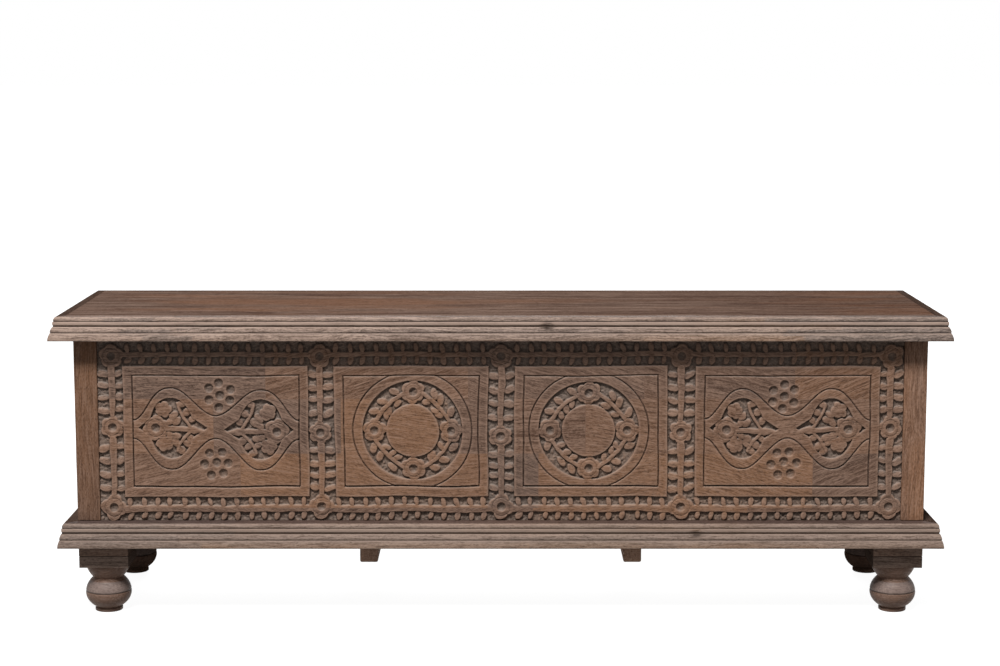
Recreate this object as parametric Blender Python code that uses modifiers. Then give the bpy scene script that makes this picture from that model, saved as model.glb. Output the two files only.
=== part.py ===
"""Carved storage chest: a long, low bench chest with a hinged planked lid, on four turned bun feet.

Metres, +Z up, front towards -Y. The origin is on the floor, in the middle of the overall box.
"""

from math import asin, cos, pi, sin

import bmesh
import bpy
from mathutils import Matrix

# Driving dimensions

FIT = 0.0003  # gap between pieces that touch
WELD = 0.00001
OVERCUT = 0.002  # how far a cutter passes the face that it cuts

# Body
BODY_LENGTH = 1.305
BODY_DEPTH = 0.3225
BODY_HEIGHT = 0.298
POST = 0.0355
FRONT_THICKNESS = 0.022
BACK_THICKNESS = 0.020
SIDE_THICKNESS = 0.018
SIDE_RECESS = 0.005
TONGUE = 0.008
TONGUE_THICKNESS = 0.008
TONGUE_BEHIND_CARVING = 0.013
BOTTOM_THICKNESS = 0.012

# Base and feet
BASE_HEIGHT = 0.038
BASE_OVERHANG = 0.0275
BASE_LEDGE = 0.0575
BASE_STEP = 0.0105
BEARER_FROM_END = 0.4465  # from the end of the body to the middle of a bearer
BEARER_WIDTH = 0.028
BEARER_DROP = 0.0372
BEARER_SETBACK = 0.0375
BLOCK = 0.0765
BLOCK_HEIGHT = 0.0372
FOOT_HEIGHT = 0.0748
FOOT_STEPS = 24
RIM_RADIUS = 0.036
RIM_HEIGHT = 0.011
NECK_RADIUS = 0.025
NECK_Z = 0.052
BUN_RADIUS = 0.0357
BUN_Z = 0.0285
BUN_RISE = 0.0277
BUN_FALL = 0.0355
PAD_RADIUS = 0.0205
PAD_HEIGHT = 0.004
TENON_RADIUS = 0.012
TENON_HEIGHT = 0.034

# Lid
LID_OVERHANG = 0.0325
LID_BOARD = 0.022
LID_TONGUE = 0.006
MOULDING_WIDTH = 0.024
MOULDING_HEIGHT = 0.0363
MOULDING_STEP = 0.0125
BATTEN_FROM_END = 0.2925  # from the end of the body to the middle of a batten
BATTEN_WIDTH = 0.050
BATTEN_THICKNESS = 0.018
BATTEN_CLEARANCE = 0.012

# Hinges
HINGE_FROM_END = 0.2025  # from the end of the body to the middle of an outer hinge
HINGE_LENGTH = 0.063
LEAF_WIDTH = 0.0165
LEAF = 0.0018
KNUCKLE_RADIUS = 0.004
HINGE_SET_OUT = 0.0045
PIN_RADIUS = 0.0016
SCREW_HEAD = 0.003
SCREW_HEAD_HEIGHT = 0.0015
SCREW_SHANK = 0.0015
SCREW_LENGTH = 0.014
SCREW_SPACING = 0.040
SCREW_STEPS = 12

# Carving on the front: bands round four raised fields
CARVING_DEPTH = 0.0055
BOTTOM_BAND = 0.037
FIELD_HEIGHT = 0.204
TOP_BAND = 0.044
COLUMN_CENTRE = 0.040
COLUMN_BETWEEN = 0.042
COLUMN_END = 0.0355
ROUNDEL_FIELD = 0.2355
ROSETTE_GAP = 0.001  # from a rosette to the edge of its upright band
ROSETTE_LOBES = 5
ROSETTE_LOBE_DEPTH = 0.10
ROSETTE_POINTS = 20
TOP_ROW_RISE = 0.016
BOTTOM_ROW_FALL = 0.016
STEM_WIDTH = 0.009
STEM_GAP = 0.003
RING_OUTER = 0.0765
RING_INNER = 0.041
RING_ROSETTE_AT = 0.0585
RING_ROSETTE = 0.0145
RING_POINTS = 40
LOBE_START = 0.0115
LOBE_LENGTH = 0.1005
LOBE_RISE = 0.046
LOBE_FULLNESS = 0.8
LOBE_POINTS = 12
LOBE_ROSETTE_AT = 0.0895
LOBE_ROSETTE = 0.0155
FLOWER_AT = 0.076
FLOWER_RISE = 0.028
FLOWER = 0.0095
LOBE_STEM_START = 0.022
LOBE_STEM_END = 0.066

# Levels and faces that follow from them
Z_BASE = FOOT_HEIGHT + BLOCK_HEIGHT
Z_BODY = Z_BASE + BASE_HEIGHT
Z_SEAT = Z_BODY + BODY_HEIGHT
Z_TOP = Z_SEAT + LID_BOARD
BACK = (BODY_DEPTH + LID_OVERHANG - HINGE_SET_OUT - KNUCKLE_RADIUS) / 2
FRONT = BACK - BODY_DEPTH
SIDE = BODY_LENGTH / 2
BEARER_X = SIDE - BEARER_FROM_END
BATTEN_X = SIDE - BATTEN_FROM_END
HINGE_X = SIDE - HINGE_FROM_END
LID_FRONT = FRONT - LID_OVERHANG
LID_SIDE = SIDE + LID_OVERHANG
BASE_FRONT = FRONT - BASE_OVERHANG
BASE_SIDE = SIDE + BASE_OVERHANG
BASE_WIDTH = BASE_OVERHANG + BASE_LEDGE
PANEL_SIDE = SIDE - POST
ROSETTE = COLUMN_END / 2 - ROSETTE_GAP
SIDE_INNER = SIDE - SIDE_RECESS - SIDE_THICKNESS
FRONT_INNER = FRONT + FRONT_THICKNESS
BACK_INNER = BACK - BACK_THICKNESS
HINGE_Y = BACK + HINGE_SET_OUT
HINGE_Z = Z_SEAT - FIT / 2
HINGE_AXIS = (0.0, HINGE_Y, HINGE_Z)

# Local axes of an outline that is drawn on a face: which way its x, its y and its depth go
ELEVATION = Matrix(((1, 0, 0, 0), (0, 0, -1, 0), (0, 1, 0, 0), (0, 0, 0, 1)))
SECTION = Matrix(((0, 0, 1, 0), (1, 0, 0, 0), (0, 1, 0, 0), (0, 0, 0, 1)))
SECTION_RIGHT = Matrix(((-1, 0, 0, 0), (0, 0, 1, 0), (0, 1, 0, 0), (0, 0, 0, 1)))

# Finishes: colour, roughness and metallic value
FINISHES = {
    "lid_wood": ((0.115, 0.058, 0.034), 0.55, 0.0),
    "moulding_wood": ((0.130, 0.085, 0.062), 0.60, 0.0),
    "post_wood": ((0.100, 0.052, 0.032), 0.60, 0.0),
    "carved_wood": ((0.088, 0.045, 0.028), 0.62, 0.0),
    "panel_wood": ((0.095, 0.050, 0.032), 0.62, 0.0),
    "inner_wood": ((0.190, 0.115, 0.070), 0.70, 0.0),
    "foot_wood": ((0.060, 0.036, 0.026), 0.55, 0.0),
    "hinge_steel": ((0.210, 0.185, 0.150), 0.45, 1.0),
    "screw_steel": ((0.330, 0.310, 0.280), 0.40, 1.0),
}


BOARD_NAMES = ("front", "middle", "rear")


# Helpers


def clear_scene():
    for thing in list(bpy.data.objects):
        bpy.data.objects.remove(thing, do_unlink=True)


def new_collection(name):
    group = bpy.data.collections.new(name)
    bpy.context.scene.collection.children.link(group)
    return group


def make_finishes():
    made = {}
    for name, (colour, roughness, metallic) in FINISHES.items():
        material = bpy.data.materials.new(name)
        material.use_nodes = True
        shader = material.node_tree.nodes["Principled BSDF"]
        shader.inputs["Base Color"].default_value = (*colour, 1.0)
        shader.inputs["Roughness"].default_value = roughness
        shader.inputs["Metallic"].default_value = metallic
        made[name] = material
    return made


def place(name, mesh, matrix, finish, on_lid=False):
    """One named piece at its place, carried by the lid's empty where it moves with the lid."""
    if not mesh.materials:
        mesh.materials.append(finishes[finish])
    piece = bpy.data.objects.new(name, mesh)
    if on_lid:
        piece.parent = lid_empty
        matrix = Matrix.Translation(HINGE_AXIS).inverted() @ matrix
    piece.matrix_basis = matrix
    parts.objects.link(piece)
    return piece


def place_cutter(name, mesh, matrix, group):
    cutter = bpy.data.objects.new(name, mesh)
    cutter.matrix_basis = matrix
    cutter.hide_render = True
    cutter.display_type = "WIRE"
    group.objects.link(cutter)
    return cutter


def cut_by_group(piece, group):
    step = piece.modifiers.new(group.name, "BOOLEAN")
    step.operand_type = "COLLECTION"
    step.collection = group


def combine(piece, other, operation):
    step = piece.modifiers.new(other.name, "BOOLEAN")
    step.operation = operation
    step.object = other


def box_mesh(name, size):
    shape = bmesh.new()
    bmesh.ops.create_cube(shape, size=1.0)
    bmesh.ops.scale(shape, vec=size, verts=shape.verts)
    mesh = bpy.data.meshes.new(name)
    shape.to_mesh(mesh)
    shape.free()
    return mesh


def box_between(name, low, high, finish, on_lid=False):
    size = [b - a for a, b in zip(low, high)]
    middle = [(a + b) / 2 for a, b in zip(low, high)]
    return place(name, box_mesh(name, size), Matrix.Translation(middle), finish, on_lid)


def cutter_between(name, low, high, group):
    size = [b - a for a, b in zip(low, high)]
    middle = [(a + b) / 2 for a, b in zip(low, high)]
    return place_cutter(name, box_mesh(name, size), Matrix.Translation(middle), group)


def outline_mesh(name, loops, depth):
    """A closed flat solid from outlines, the inner ones holes, that runs from 0 to depth along its z."""
    curve = bpy.data.curves.new(name, "CURVE")
    curve.dimensions = "2D"
    curve.fill_mode = "BOTH"
    curve.extrude = depth / 2
    for loop in loops:
        spline = curve.splines.new("POLY")
        spline.points.add(len(loop) - 1)
        for point, (x, y) in zip(spline.points, loop):
            point.co = (x, y, 0.0, 1.0)
        spline.use_cyclic_u = True
    drawn = bpy.data.objects.new(name, curve)
    bpy.context.scene.collection.objects.link(drawn)
    seen = drawn.evaluated_get(bpy.context.evaluated_depsgraph_get())
    mesh = bpy.data.meshes.new_from_object(seen)
    bpy.data.objects.remove(drawn, do_unlink=True)
    shape = bmesh.new()
    shape.from_mesh(mesh)
    bmesh.ops.remove_doubles(shape, verts=shape.verts, dist=WELD)
    bmesh.ops.translate(shape, vec=(0, 0, depth / 2), verts=shape.verts)
    shape.to_mesh(mesh)
    shape.free()
    return mesh


def turned(piece, steps):
    turn = piece.modifiers.new("turned", "SCREW")
    turn.axis = "Z"
    turn.angle = 2 * pi
    turn.steps = steps
    turn.render_steps = steps
    turn.use_merge_vertices = True
    turn.merge_threshold = WELD
    turn.use_smooth_shade = True
    return piece


def profile_mesh(name, points):
    """The edges of a turned profile, from its top to its foot, in the XZ plane."""
    mesh = bpy.data.meshes.new(name)
    spots = [(radius, 0.0, z) for radius, z in points]
    mesh.from_pydata(spots, [(i, i + 1) for i in range(len(spots) - 1)], [])
    return mesh


def rectangle(x0, y0, x1, y1):
    return [(x0, y0), (x1, y0), (x1, y1), (x0, y1)]


def circle(x, y, radius, count):
    return [(x + radius * cos(2 * pi * i / count), y + radius * sin(2 * pi * i / count)) for i in range(count)]


def rosette(x, y, radius):
    """A round flower outline whose edge waves in and out once for each lobe."""
    loop = []
    for i in range(ROSETTE_POINTS):
        turn = 2 * pi * i / ROSETTE_POINTS
        reach = radius * (1 - ROSETTE_LOBE_DEPTH * (1 - cos(ROSETTE_LOBES * turn)) / 2)
        loop.append((x + reach * sin(turn), y + reach * cos(turn)))
    return loop


# Mouldings


def moulding_profile(width, height, step):
    """The stepped edge of lid and base, as inset from its lowest edge and height above its foot.

    From the foot up: a fillet, an ovolo, a quirk, a cove, a bead, a second quirk and a quarter round.
    """
    fillet = 0.09 * height
    ovolo = 0.31 * height
    band = 0.45 * height
    cove = 0.60 * height
    bead = 0.79 * height
    ovolo_in = 0.36 * step
    cove_in = 0.58 * step
    bead_out = 0.48 * step
    round_in = 0.66 * step
    quirk = 0.08 * step
    points = [(width, 0.0), (0.0, 0.0)]
    for i in range(4):
        turn = i * pi / 6
        points.append((ovolo_in * (1 - cos(turn)), fillet + (ovolo - fillet) * sin(turn)))
    points.append((ovolo_in + quirk, ovolo + quirk))
    points.append((ovolo_in, ovolo + 3 * quirk))
    points.append((ovolo_in, band))
    points.append((cove_in, cove))
    for i in range(1, 4):
        turn = i * pi / 4
        points.append((cove_in - (cove_in - bead_out) * sin(turn), cove + (bead - cove) * (1 - cos(turn)) / 2))
    points.append((round_in + quirk, bead))
    for i in range(4):
        turn = i * pi / 6
        points.append((step - (step - round_in) * cos(turn), bead + quirk + (height - bead - quirk) * sin(turn)))
    points.append((width, height))
    return points


def moulding_mesh(name, profile, length, mitre_start, mitre_end):
    """The profile carried along its z for a length, with the ends that meet a corner cut back by the inset."""
    mesh = outline_mesh(name, [profile], length)
    shape = bmesh.new()
    shape.from_mesh(mesh)
    for vertex in shape.verts:
        inset = vertex.co.x
        if vertex.co.z < length / 2:
            vertex.co.z = inset + FIT if mitre_start else 0.0
        else:
            vertex.co.z = length - inset - FIT if mitre_end else length
    shape.to_mesh(mesh)
    shape.free()
    return mesh


def moulding_set(prefix, profile, front, side, z, on_lid):
    """A front moulding and two end ones, mitred at the front corners and square at the back."""
    run = BACK - front
    mesh = moulding_mesh(prefix + "_front", profile, 2 * side, True, True)
    place(prefix + "_front", mesh, Matrix.Translation((-side, front, z)) @ SECTION, "moulding_wood", on_lid)
    mesh = moulding_mesh(prefix + "_left", profile, run, False, True)
    place(prefix + "_left", mesh, Matrix.Translation((-side, BACK, z)) @ ELEVATION, "moulding_wood", on_lid)
    mesh = moulding_mesh(prefix + "_right", profile, run, True, False)
    place(prefix + "_right", mesh, Matrix.Translation((side, front, z)) @ SECTION_RIGHT, "moulding_wood", on_lid)


# Feet and base


def foot_profile():
    """Turned foot: a tenon, a cupped rim that draws in to a neck, a bun of two half ellipses and a small pad."""
    shoulder = FOOT_HEIGHT - FIT
    rim_foot = shoulder - RIM_HEIGHT
    points = [(0.0, FOOT_HEIGHT + TENON_HEIGHT), (TENON_RADIUS, FOOT_HEIGHT + TENON_HEIGHT)]
    points += [(TENON_RADIUS, shoulder), (RIM_RADIUS, shoulder)]
    for i in range(5):
        share = i / 4
        swing = (1 + cos(pi * share)) / 2
        points.append((NECK_RADIUS + (RIM_RADIUS - NECK_RADIUS) * swing, rim_foot + (NECK_Z - rim_foot) * share))
    meet = asin(NECK_RADIUS / BUN_RADIUS)
    for i in range(6):
        turn = meet + (pi / 2 - meet) * i / 5
        points.append((BUN_RADIUS * sin(turn), BUN_Z + BUN_RISE * cos(turn)))
    low = asin((BUN_Z - PAD_HEIGHT) / BUN_FALL)
    for i in range(1, 6):
        turn = low * i / 5
        points.append((BUN_RADIUS * cos(turn), BUN_Z - BUN_FALL * sin(turn)))
    points += [(PAD_RADIUS, PAD_HEIGHT), (PAD_RADIUS, 0.0), (0.0, 0.0)]
    return points


def make_feet():
    profile = profile_mesh("turned_foot", foot_profile())
    half = BLOCK / 2
    layer = BLOCK_HEIGHT / 2
    bore = circle(0, 0, TENON_RADIUS + FIT, FOOT_STEPS)
    block = outline_mesh("foot_block", [rectangle(-half, -half, half, half), bore], layer - FIT)
    for end, x in (("left", half - SIDE), ("right", SIDE - half)):
        for row, y in (("front", FRONT + half), ("rear", BACK - half)):
            corner = row + "_" + end
            foot = place("turned_foot_" + corner, profile, Matrix.Translation((x, y, 0)), "foot_wood")
            turned(foot, FOOT_STEPS)
            for level, name in enumerate(("foot_block_lower_", "foot_block_upper_")):
                spot = Matrix.Translation((x, y, FOOT_HEIGHT + level * layer))
                place(name + corner, block, spot, "foot_wood")


def make_base():
    profile = moulding_profile(BASE_WIDTH, BASE_HEIGHT - FIT, BASE_STEP)
    moulding_set("base_moulding", profile, BASE_FRONT, BASE_SIDE, Z_BASE, False)
    rail_side = SIDE - BASE_LEDGE - FIT
    low = (-rail_side, BACK - BASE_LEDGE, Z_BASE)
    high = (rail_side, BACK, Z_BODY - FIT)
    box_between("base_rail_rear", low, high, "panel_wood")
    make_bearers()


def make_bearers():
    """Cross bearers: the foot laps under the front and rear rails, the upper part fits between them."""
    foot = (FRONT + BEARER_SETBACK, BACK - BEARER_SETBACK)
    upper = (FRONT + BASE_LEDGE + FIT, BACK - BASE_LEDGE - FIT)
    low = Z_BASE - BEARER_DROP
    lap = Z_BASE - FIT
    top = Z_BODY - FIT
    loop = [(foot[0], low), (foot[1], low), (foot[1], lap), (upper[1], lap)]
    loop += [(upper[1], top), (upper[0], top), (upper[0], lap), (foot[0], lap)]
    mesh = outline_mesh("bearer", [loop], BEARER_WIDTH)
    for end, x in (("left", -BEARER_X), ("right", BEARER_X)):
        spot = Matrix.Translation((x - BEARER_WIDTH / 2, 0, 0)) @ SECTION
        place("bearer_" + end, mesh, spot, "inner_wood")


# Body


def post_outline(end, row):
    """A square post with one groove for the front or back panel and one for the side panel."""
    along = TONGUE_BEHIND_CARVING if row < 0 else BACK_THICKNESS / 2
    across = SIDE_RECESS + SIDE_THICKNESS / 2
    half = TONGUE_THICKNESS / 2 + FIT
    deep = POST - TONGUE - FIT
    loop = [(0, 0), (POST, 0), (POST, along - half), (deep, along - half)]
    loop += [(deep, along + half), (POST, along + half), (POST, POST)]
    loop += [(across + half, POST), (across + half, deep), (across - half, deep)]
    loop += [(across - half, POST), (0, POST)]
    face = FRONT if row < 0 else BACK
    return [(end * (SIDE - u), face - row * v) for u, v in loop]


def make_posts():
    height = BODY_HEIGHT - FIT
    for end_name, end in (("left", -1), ("right", 1)):
        for row_name, row in (("front", -1), ("rear", 1)):
            name = "post_" + row_name + "_" + end_name
            mesh = outline_mesh(name, [post_outline(end, row)], height)
            place(name, mesh, Matrix.Translation((0, 0, Z_BODY)), "post_wood")


def tongued_outline(half, thickness, tongue_at):
    """A panel seen from above, along x, with a tongue at each end, its outer face on y = 0."""
    low = tongue_at - TONGUE_THICKNESS / 2
    high = tongue_at + TONGUE_THICKNESS / 2
    body = half - FIT
    reach = half + TONGUE - FIT
    right = [(body, 0), (body, low), (reach, low), (reach, high), (body, high), (body, thickness)]
    left = [(-x, y) for x, y in reversed(right)]
    return right + left


def make_panels():
    height = BODY_HEIGHT - FIT
    loop = tongued_outline(PANEL_SIDE, FRONT_THICKNESS, TONGUE_BEHIND_CARVING)
    mesh = outline_mesh("front_panel", [loop], height)
    front = place("front_panel", mesh, Matrix.Translation((0, FRONT, Z_BODY)), "carved_wood")
    cut_by_group(front, carving_cutters())

    loop = [(x, -y) for x, y in tongued_outline(PANEL_SIDE, BACK_THICKNESS, BACK_THICKNESS / 2)]
    mesh = outline_mesh("back_panel", [loop], height)
    back = place("back_panel", mesh, Matrix.Translation((0, BACK, Z_BODY)), "panel_wood")

    half = BODY_DEPTH / 2 - POST
    outline = tongued_outline(half, SIDE_THICKNESS, SIDE_THICKNESS / 2)
    middle = (FRONT + BACK) / 2
    for end_name, end in (("left", -1), ("right", 1)):
        face = end * (SIDE - SIDE_RECESS)
        loop = [(face - end * y, middle + x) for x, y in outline]
        mesh = outline_mesh("side_panel_" + end_name, [loop], height)
        place("side_panel_" + end_name, mesh, Matrix.Translation((0, 0, Z_BODY)), "panel_wood")
    return back


def make_bottom():
    """Boards that lie on the base ledge; the outer two are notched round the posts."""
    low = FRONT_INNER + FIT
    high = BACK_INNER - FIT
    width = (high - low) / len(BOARD_NAMES)
    side = SIDE_INNER - FIT
    notch = PANEL_SIDE - FIT
    post_front = FRONT + POST + FIT
    post_rear = BACK - POST - FIT
    for i, name in enumerate(BOARD_NAMES):
        y0 = low + i * width
        y1 = y0 + width - FIT
        half = [(side, y0), (side, y1)]
        if name == "front":
            half = [(notch, y0), (notch, post_front), (side, post_front), (side, y1)]
        if name == "rear":
            half = [(side, y0), (side, post_rear), (notch, post_rear), (notch, y1)]
        loop = half + [(-x, y) for x, y in reversed(half)]
        mesh = outline_mesh("bottom_board_" + name, [loop], BOTTOM_THICKNESS)
        place("bottom_board_" + name, mesh, Matrix.Translation((0, 0, Z_BODY)), "inner_wood")


# Carving


def column_places():
    """The middle and half width of each upright band, from the left."""
    between = COLUMN_CENTRE / 2 + ROUNDEL_FIELD + COLUMN_BETWEEN / 2
    end = PANEL_SIDE - COLUMN_END / 2
    return [-end, -between, 0.0, between, end]


def field_spans():
    """The left and right edge of each raised field, from the left."""
    roundel = (COLUMN_CENTRE / 2, COLUMN_CENTRE / 2 + ROUNDEL_FIELD)
    strap = (roundel[1] + COLUMN_BETWEEN, PANEL_SIDE - COLUMN_END)
    return [(-strap[1], -strap[0]), (-roundel[1], -roundel[0]), roundel, strap]


def carving_cutters():
    """The sunk ground of the front: bands, ring and lobes, each with the ornament left standing as a hole."""
    field_low = Z_BODY + BOTTOM_BAND
    field_high = field_low + FIELD_HEIGHT
    middle = (field_low + field_high) / 2
    spans = field_spans()
    group = new_collection("carving_cutters")

    def sink(name, loops):
        mesh = outline_mesh(name, loops, CARVING_DEPTH + OVERCUT)
        spot = Matrix.Translation((0, FRONT + CARVING_DEPTH, 0)) @ ELEVATION
        place_cutter(name, mesh, spot, group)

    sink("bands_ground", band_loops(spans, field_low, field_high))
    for i in (1, 2):
        centre = (spans[i][0] + spans[i][1]) / 2
        sink("roundel_ground_%d" % i, roundel_loops(centre, middle))
    for i in (0, 3):
        centre = (spans[i][0] + spans[i][1]) / 2
        for way in (-1, 1):
            sink("lobe_ground_%d_%d" % (i, way), lobe_loops(centre, middle, way))
    return group


def band_loops(spans, field_low, field_high):
    """The ground round the fields, open at the panel's foot and ends, with rosettes and stems left standing."""
    side = PANEL_SIDE + COLUMN_END
    loops = [rectangle(-side, Z_BODY - BOTTOM_BAND, side, field_high + TOP_BAND)]
    for x0, x1 in spans:
        loops.append(rectangle(x0, field_low, x1, field_high))
    columns = column_places()
    rows = (field_low - BOTTOM_ROW_FALL, (field_low + field_high) / 2, field_high + TOP_ROW_RISE)
    clear = ROSETTE + STEM_GAP
    half = STEM_WIDTH / 2
    for x in columns:
        for z in rows:
            loops.append(rosette(x, z, ROSETTE))
        for z0, z1 in zip(rows, rows[1:]):
            loops.append(rectangle(x - half, z0 + clear, x + half, z1 - clear))
    for z in (rows[0], rows[-1]):
        for x0, x1 in zip(columns, columns[1:]):
            loops.append(rectangle(x0 + clear, z - half, x1 - clear, z + half))
    return loops


def roundel_loops(x, z):
    loops = [circle(x, z, RING_OUTER, RING_POINTS), circle(x, z, RING_INNER, RING_POINTS)]
    for quarter in range(4):
        turn = quarter * pi / 2
        spot = (x + RING_ROSETTE_AT * cos(turn), z + RING_ROSETTE_AT * sin(turn))
        loops.append(rosette(*spot, RING_ROSETTE))
    return loops


def lobe_loops(x, z, way):
    """A lens with pointed ends beside the field's middle, its rosette, two flowers and tapered stem left standing."""
    edge = []
    for i in range(LOBE_POINTS + 1):
        share = i / LOBE_POINTS
        edge.append((x + way * (LOBE_START + LOBE_LENGTH * share), LOBE_RISE * sin(pi * share) ** LOBE_FULLNESS))
    upper = [(u, z + rise) for u, rise in edge]
    lower = [(u, z - rise) for u, rise in edge[1:-1]]
    loops = [upper + lower[::-1]]
    loops.append(rosette(x + way * LOBE_ROSETTE_AT, z, LOBE_ROSETTE))
    for rise in (-FLOWER_RISE, FLOWER_RISE):
        loops.append(rosette(x + way * FLOWER_AT, z + rise, FLOWER))
    near = x + way * LOBE_STEM_START
    far = x + way * LOBE_STEM_END
    loops.append([(near, z), (far, z - STEM_WIDTH / 2), (far, z + STEM_WIDTH / 2)])
    return loops


# Lid


def lid_board_outline(y0, y1, tongue, groove):
    """A board's section: a tongue on its rear edge or a groove in its front edge where it meets the next board."""
    z0 = Z_SEAT
    z1 = Z_TOP
    low = z0 + LID_BOARD / 3
    high = z0 + 2 * LID_BOARD / 3
    loop = [(y0, z0), (y1, z0)]
    if tongue:
        loop += [(y1, low + FIT), (y1 + LID_TONGUE - FIT, low + FIT)]
        loop += [(y1 + LID_TONGUE - FIT, high - FIT), (y1, high - FIT)]
    loop += [(y1, z1), (y0, z1)]
    if groove:
        loop += [(y0, high), (y0 + LID_TONGUE, high), (y0 + LID_TONGUE, low), (y0, low)]
    return loop


def make_lid():
    profile = moulding_profile(MOULDING_WIDTH, MOULDING_HEIGHT, MOULDING_STEP)
    moulding_set("lid_moulding", profile, LID_FRONT, LID_SIDE, Z_TOP - MOULDING_HEIGHT, True)
    low = LID_FRONT + MOULDING_WIDTH + FIT
    width = (BACK - low) / len(BOARD_NAMES)
    half = LID_SIDE - MOULDING_WIDTH - FIT
    boards = {}
    for i, name in enumerate(BOARD_NAMES):
        y0 = low + i * width
        y1 = y0 + width - (FIT if name != "rear" else 0.0)
        loop = lid_board_outline(y0, y1, name != "rear", name != "front")
        mesh = outline_mesh("lid_board_" + name, [loop], 2 * half)
        spot = Matrix.Translation((-half, 0, 0)) @ SECTION
        boards[name] = place("lid_board_" + name, mesh, spot, "lid_wood", True)
    for end, x in (("left", -BATTEN_X), ("right", BATTEN_X)):
        low = (x - BATTEN_WIDTH / 2, FRONT_INNER + BATTEN_CLEARANCE, Z_SEAT - FIT - BATTEN_THICKNESS)
        high = (x + BATTEN_WIDTH / 2, BACK_INNER - BATTEN_CLEARANCE, Z_SEAT - FIT)
        box_between("lid_batten_" + end, low, high, "inner_wood", True)
    return boards["rear"]


# Hinges


def screw_profile(grow):
    """A countersunk screw, head up with its face on z = 0; grow makes the hole that clears it."""
    top = OVERCUT if grow else 0.0
    points = [(0.0, top), (SCREW_HEAD + grow, top)]
    if grow:
        points.append((SCREW_HEAD + grow, -grow))
    points.append((SCREW_SHANK + grow, -SCREW_HEAD_HEIGHT - grow))
    points += [(SCREW_SHANK + grow, -SCREW_LENGTH - grow), (0.0, -SCREW_LENGTH - grow)]
    return points


def knuckle_loops(way):
    """An eye round the pin with a tab that runs forward into its leaf, below the axis for way -1, above for 1."""
    near = FIT
    far = LEAF - FIT / 2
    start = pi + asin(far / KNUCKLE_RADIUS)
    stop = 3 * pi + asin(near / KNUCKLE_RADIUS)
    reach = KNUCKLE_RADIUS + LEAF_WIDTH / 4
    loop = []
    for i in range(SCREW_STEPS + 1):
        turn = start + (stop - start) * i / SCREW_STEPS
        loop.append((KNUCKLE_RADIUS * cos(turn), -way * KNUCKLE_RADIUS * sin(turn)))
    loop += [(-reach, way * near), (-reach, way * far)]
    return [loop, circle(0, 0, PIN_RADIUS + FIT, SCREW_STEPS)]


def leaf(name, x, way, knuckle_spans, holes, joins):
    """A leaf under (way -1) or over (way 1) the seam between body and lid, with its own knuckles on the axis."""
    face = HINGE_Z + way * FIT / 2
    z0, z1 = sorted((face, face + way * LEAF))
    rear = HINGE_Y - KNUCKLE_RADIUS - FIT
    low = (x - HINGE_LENGTH / 2, BACK - LEAF_WIDTH, z0)
    high = (x + HINGE_LENGTH / 2, rear, z1)
    plate = box_between(name, low, high, "hinge_steel", way > 0)
    for start, stop in knuckle_spans:
        mesh = outline_mesh(name + "_knuckle", knuckle_loops(way), stop - start)
        spot = Matrix.Translation((x + start, HINGE_Y, HINGE_Z)) @ SECTION
        combine(plate, place_cutter(name + "_knuckle", mesh, spot, joins), "UNION")
    cut_by_group(plate, holes)


def make_hinge(side, x, pockets, joins):
    third = HINGE_LENGTH / 3
    half = HINGE_LENGTH / 2
    for owner, way in (("body", -1), ("lid", 1)):
        holes = new_collection("hinge_%s_%s_holes" % (side, owner))
        face = HINGE_Z + way * FIT / 2
        head_up = Matrix.Rotation(0.0 if way < 0 else pi, 4, "X")
        for place_name, shift in (("outer", -SCREW_SPACING / 2), ("inner", SCREW_SPACING / 2)):
            spot = Matrix.Translation((x + shift, BACK - LEAF_WIDTH / 2, face)) @ head_up
            name = "hinge_%s_%s_screw_%s" % (side, owner, place_name)
            screw = place(name, screw_mesh, spot, "screw_steel", way > 0)
            turned(screw, SCREW_STEPS)
            turned(place_cutter(name + "_hole", screw_hole_mesh, spot, holes), SCREW_STEPS)
        if way < 0:
            spans = [(-half, -third / 2 - FIT), (third / 2 + FIT, half)]
        else:
            spans = [(-third / 2, third / 2)]
        leaf("hinge_%s_%s_leaf" % (side, owner), x, way, spans, holes, joins)
        deep = face + way * (LEAF + FIT)
        z0, z1 = sorted((face - way * OVERCUT, deep))
        low = (x - half - FIT, BACK - LEAF_WIDTH - FIT, z0)
        high = (x + half + FIT, BACK + OVERCUT, z1)
        cutter_between("hinge_%s_%s_pocket" % (side, owner), low, high, pockets[owner])
        pockets[owner + "_holes"].append(holes)
    make_pin(side, x)


def make_pin(side, x):
    shape = bmesh.new()
    turn = Matrix.Rotation(pi / 2, 4, "Y")
    bmesh.ops.create_cone(
        shape,
        cap_ends=True,
        segments=SCREW_STEPS,
        radius1=PIN_RADIUS,
        radius2=PIN_RADIUS,
        depth=HINGE_LENGTH,
        matrix=turn,
    )
    mesh = bpy.data.meshes.new("hinge_%s_pin" % side)
    shape.to_mesh(mesh)
    shape.free()
    place("hinge_%s_pin" % side, mesh, Matrix.Translation((x, HINGE_Y, HINGE_Z)), "screw_steel")


def make_hinges(back, rear_board):
    pockets = {"body": new_collection("body_pockets"), "lid": new_collection("lid_pockets")}
    pockets["body_holes"] = []
    pockets["lid_holes"] = []
    joins = new_collection("knuckles")
    for side, x in (("left", -HINGE_X), ("middle", 0.0), ("right", HINGE_X)):
        make_hinge(side, x, pockets, joins)
    for owner, piece in (("body", back), ("lid", rear_board)):
        cut_by_group(piece, pockets[owner])
        for holes in pockets[owner + "_holes"]:
            cut_by_group(piece, holes)


clear_scene()
finishes = make_finishes()
parts = new_collection("carved_storage_chest")
lid_empty = bpy.data.objects.new("lid_hinge_axis", None)
lid_empty.location = HINGE_AXIS
parts.objects.link(lid_empty)
screw_mesh = profile_mesh("hinge_screw", screw_profile(0.0))
screw_hole_mesh = profile_mesh("hinge_screw_hole", screw_profile(FIT))

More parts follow.
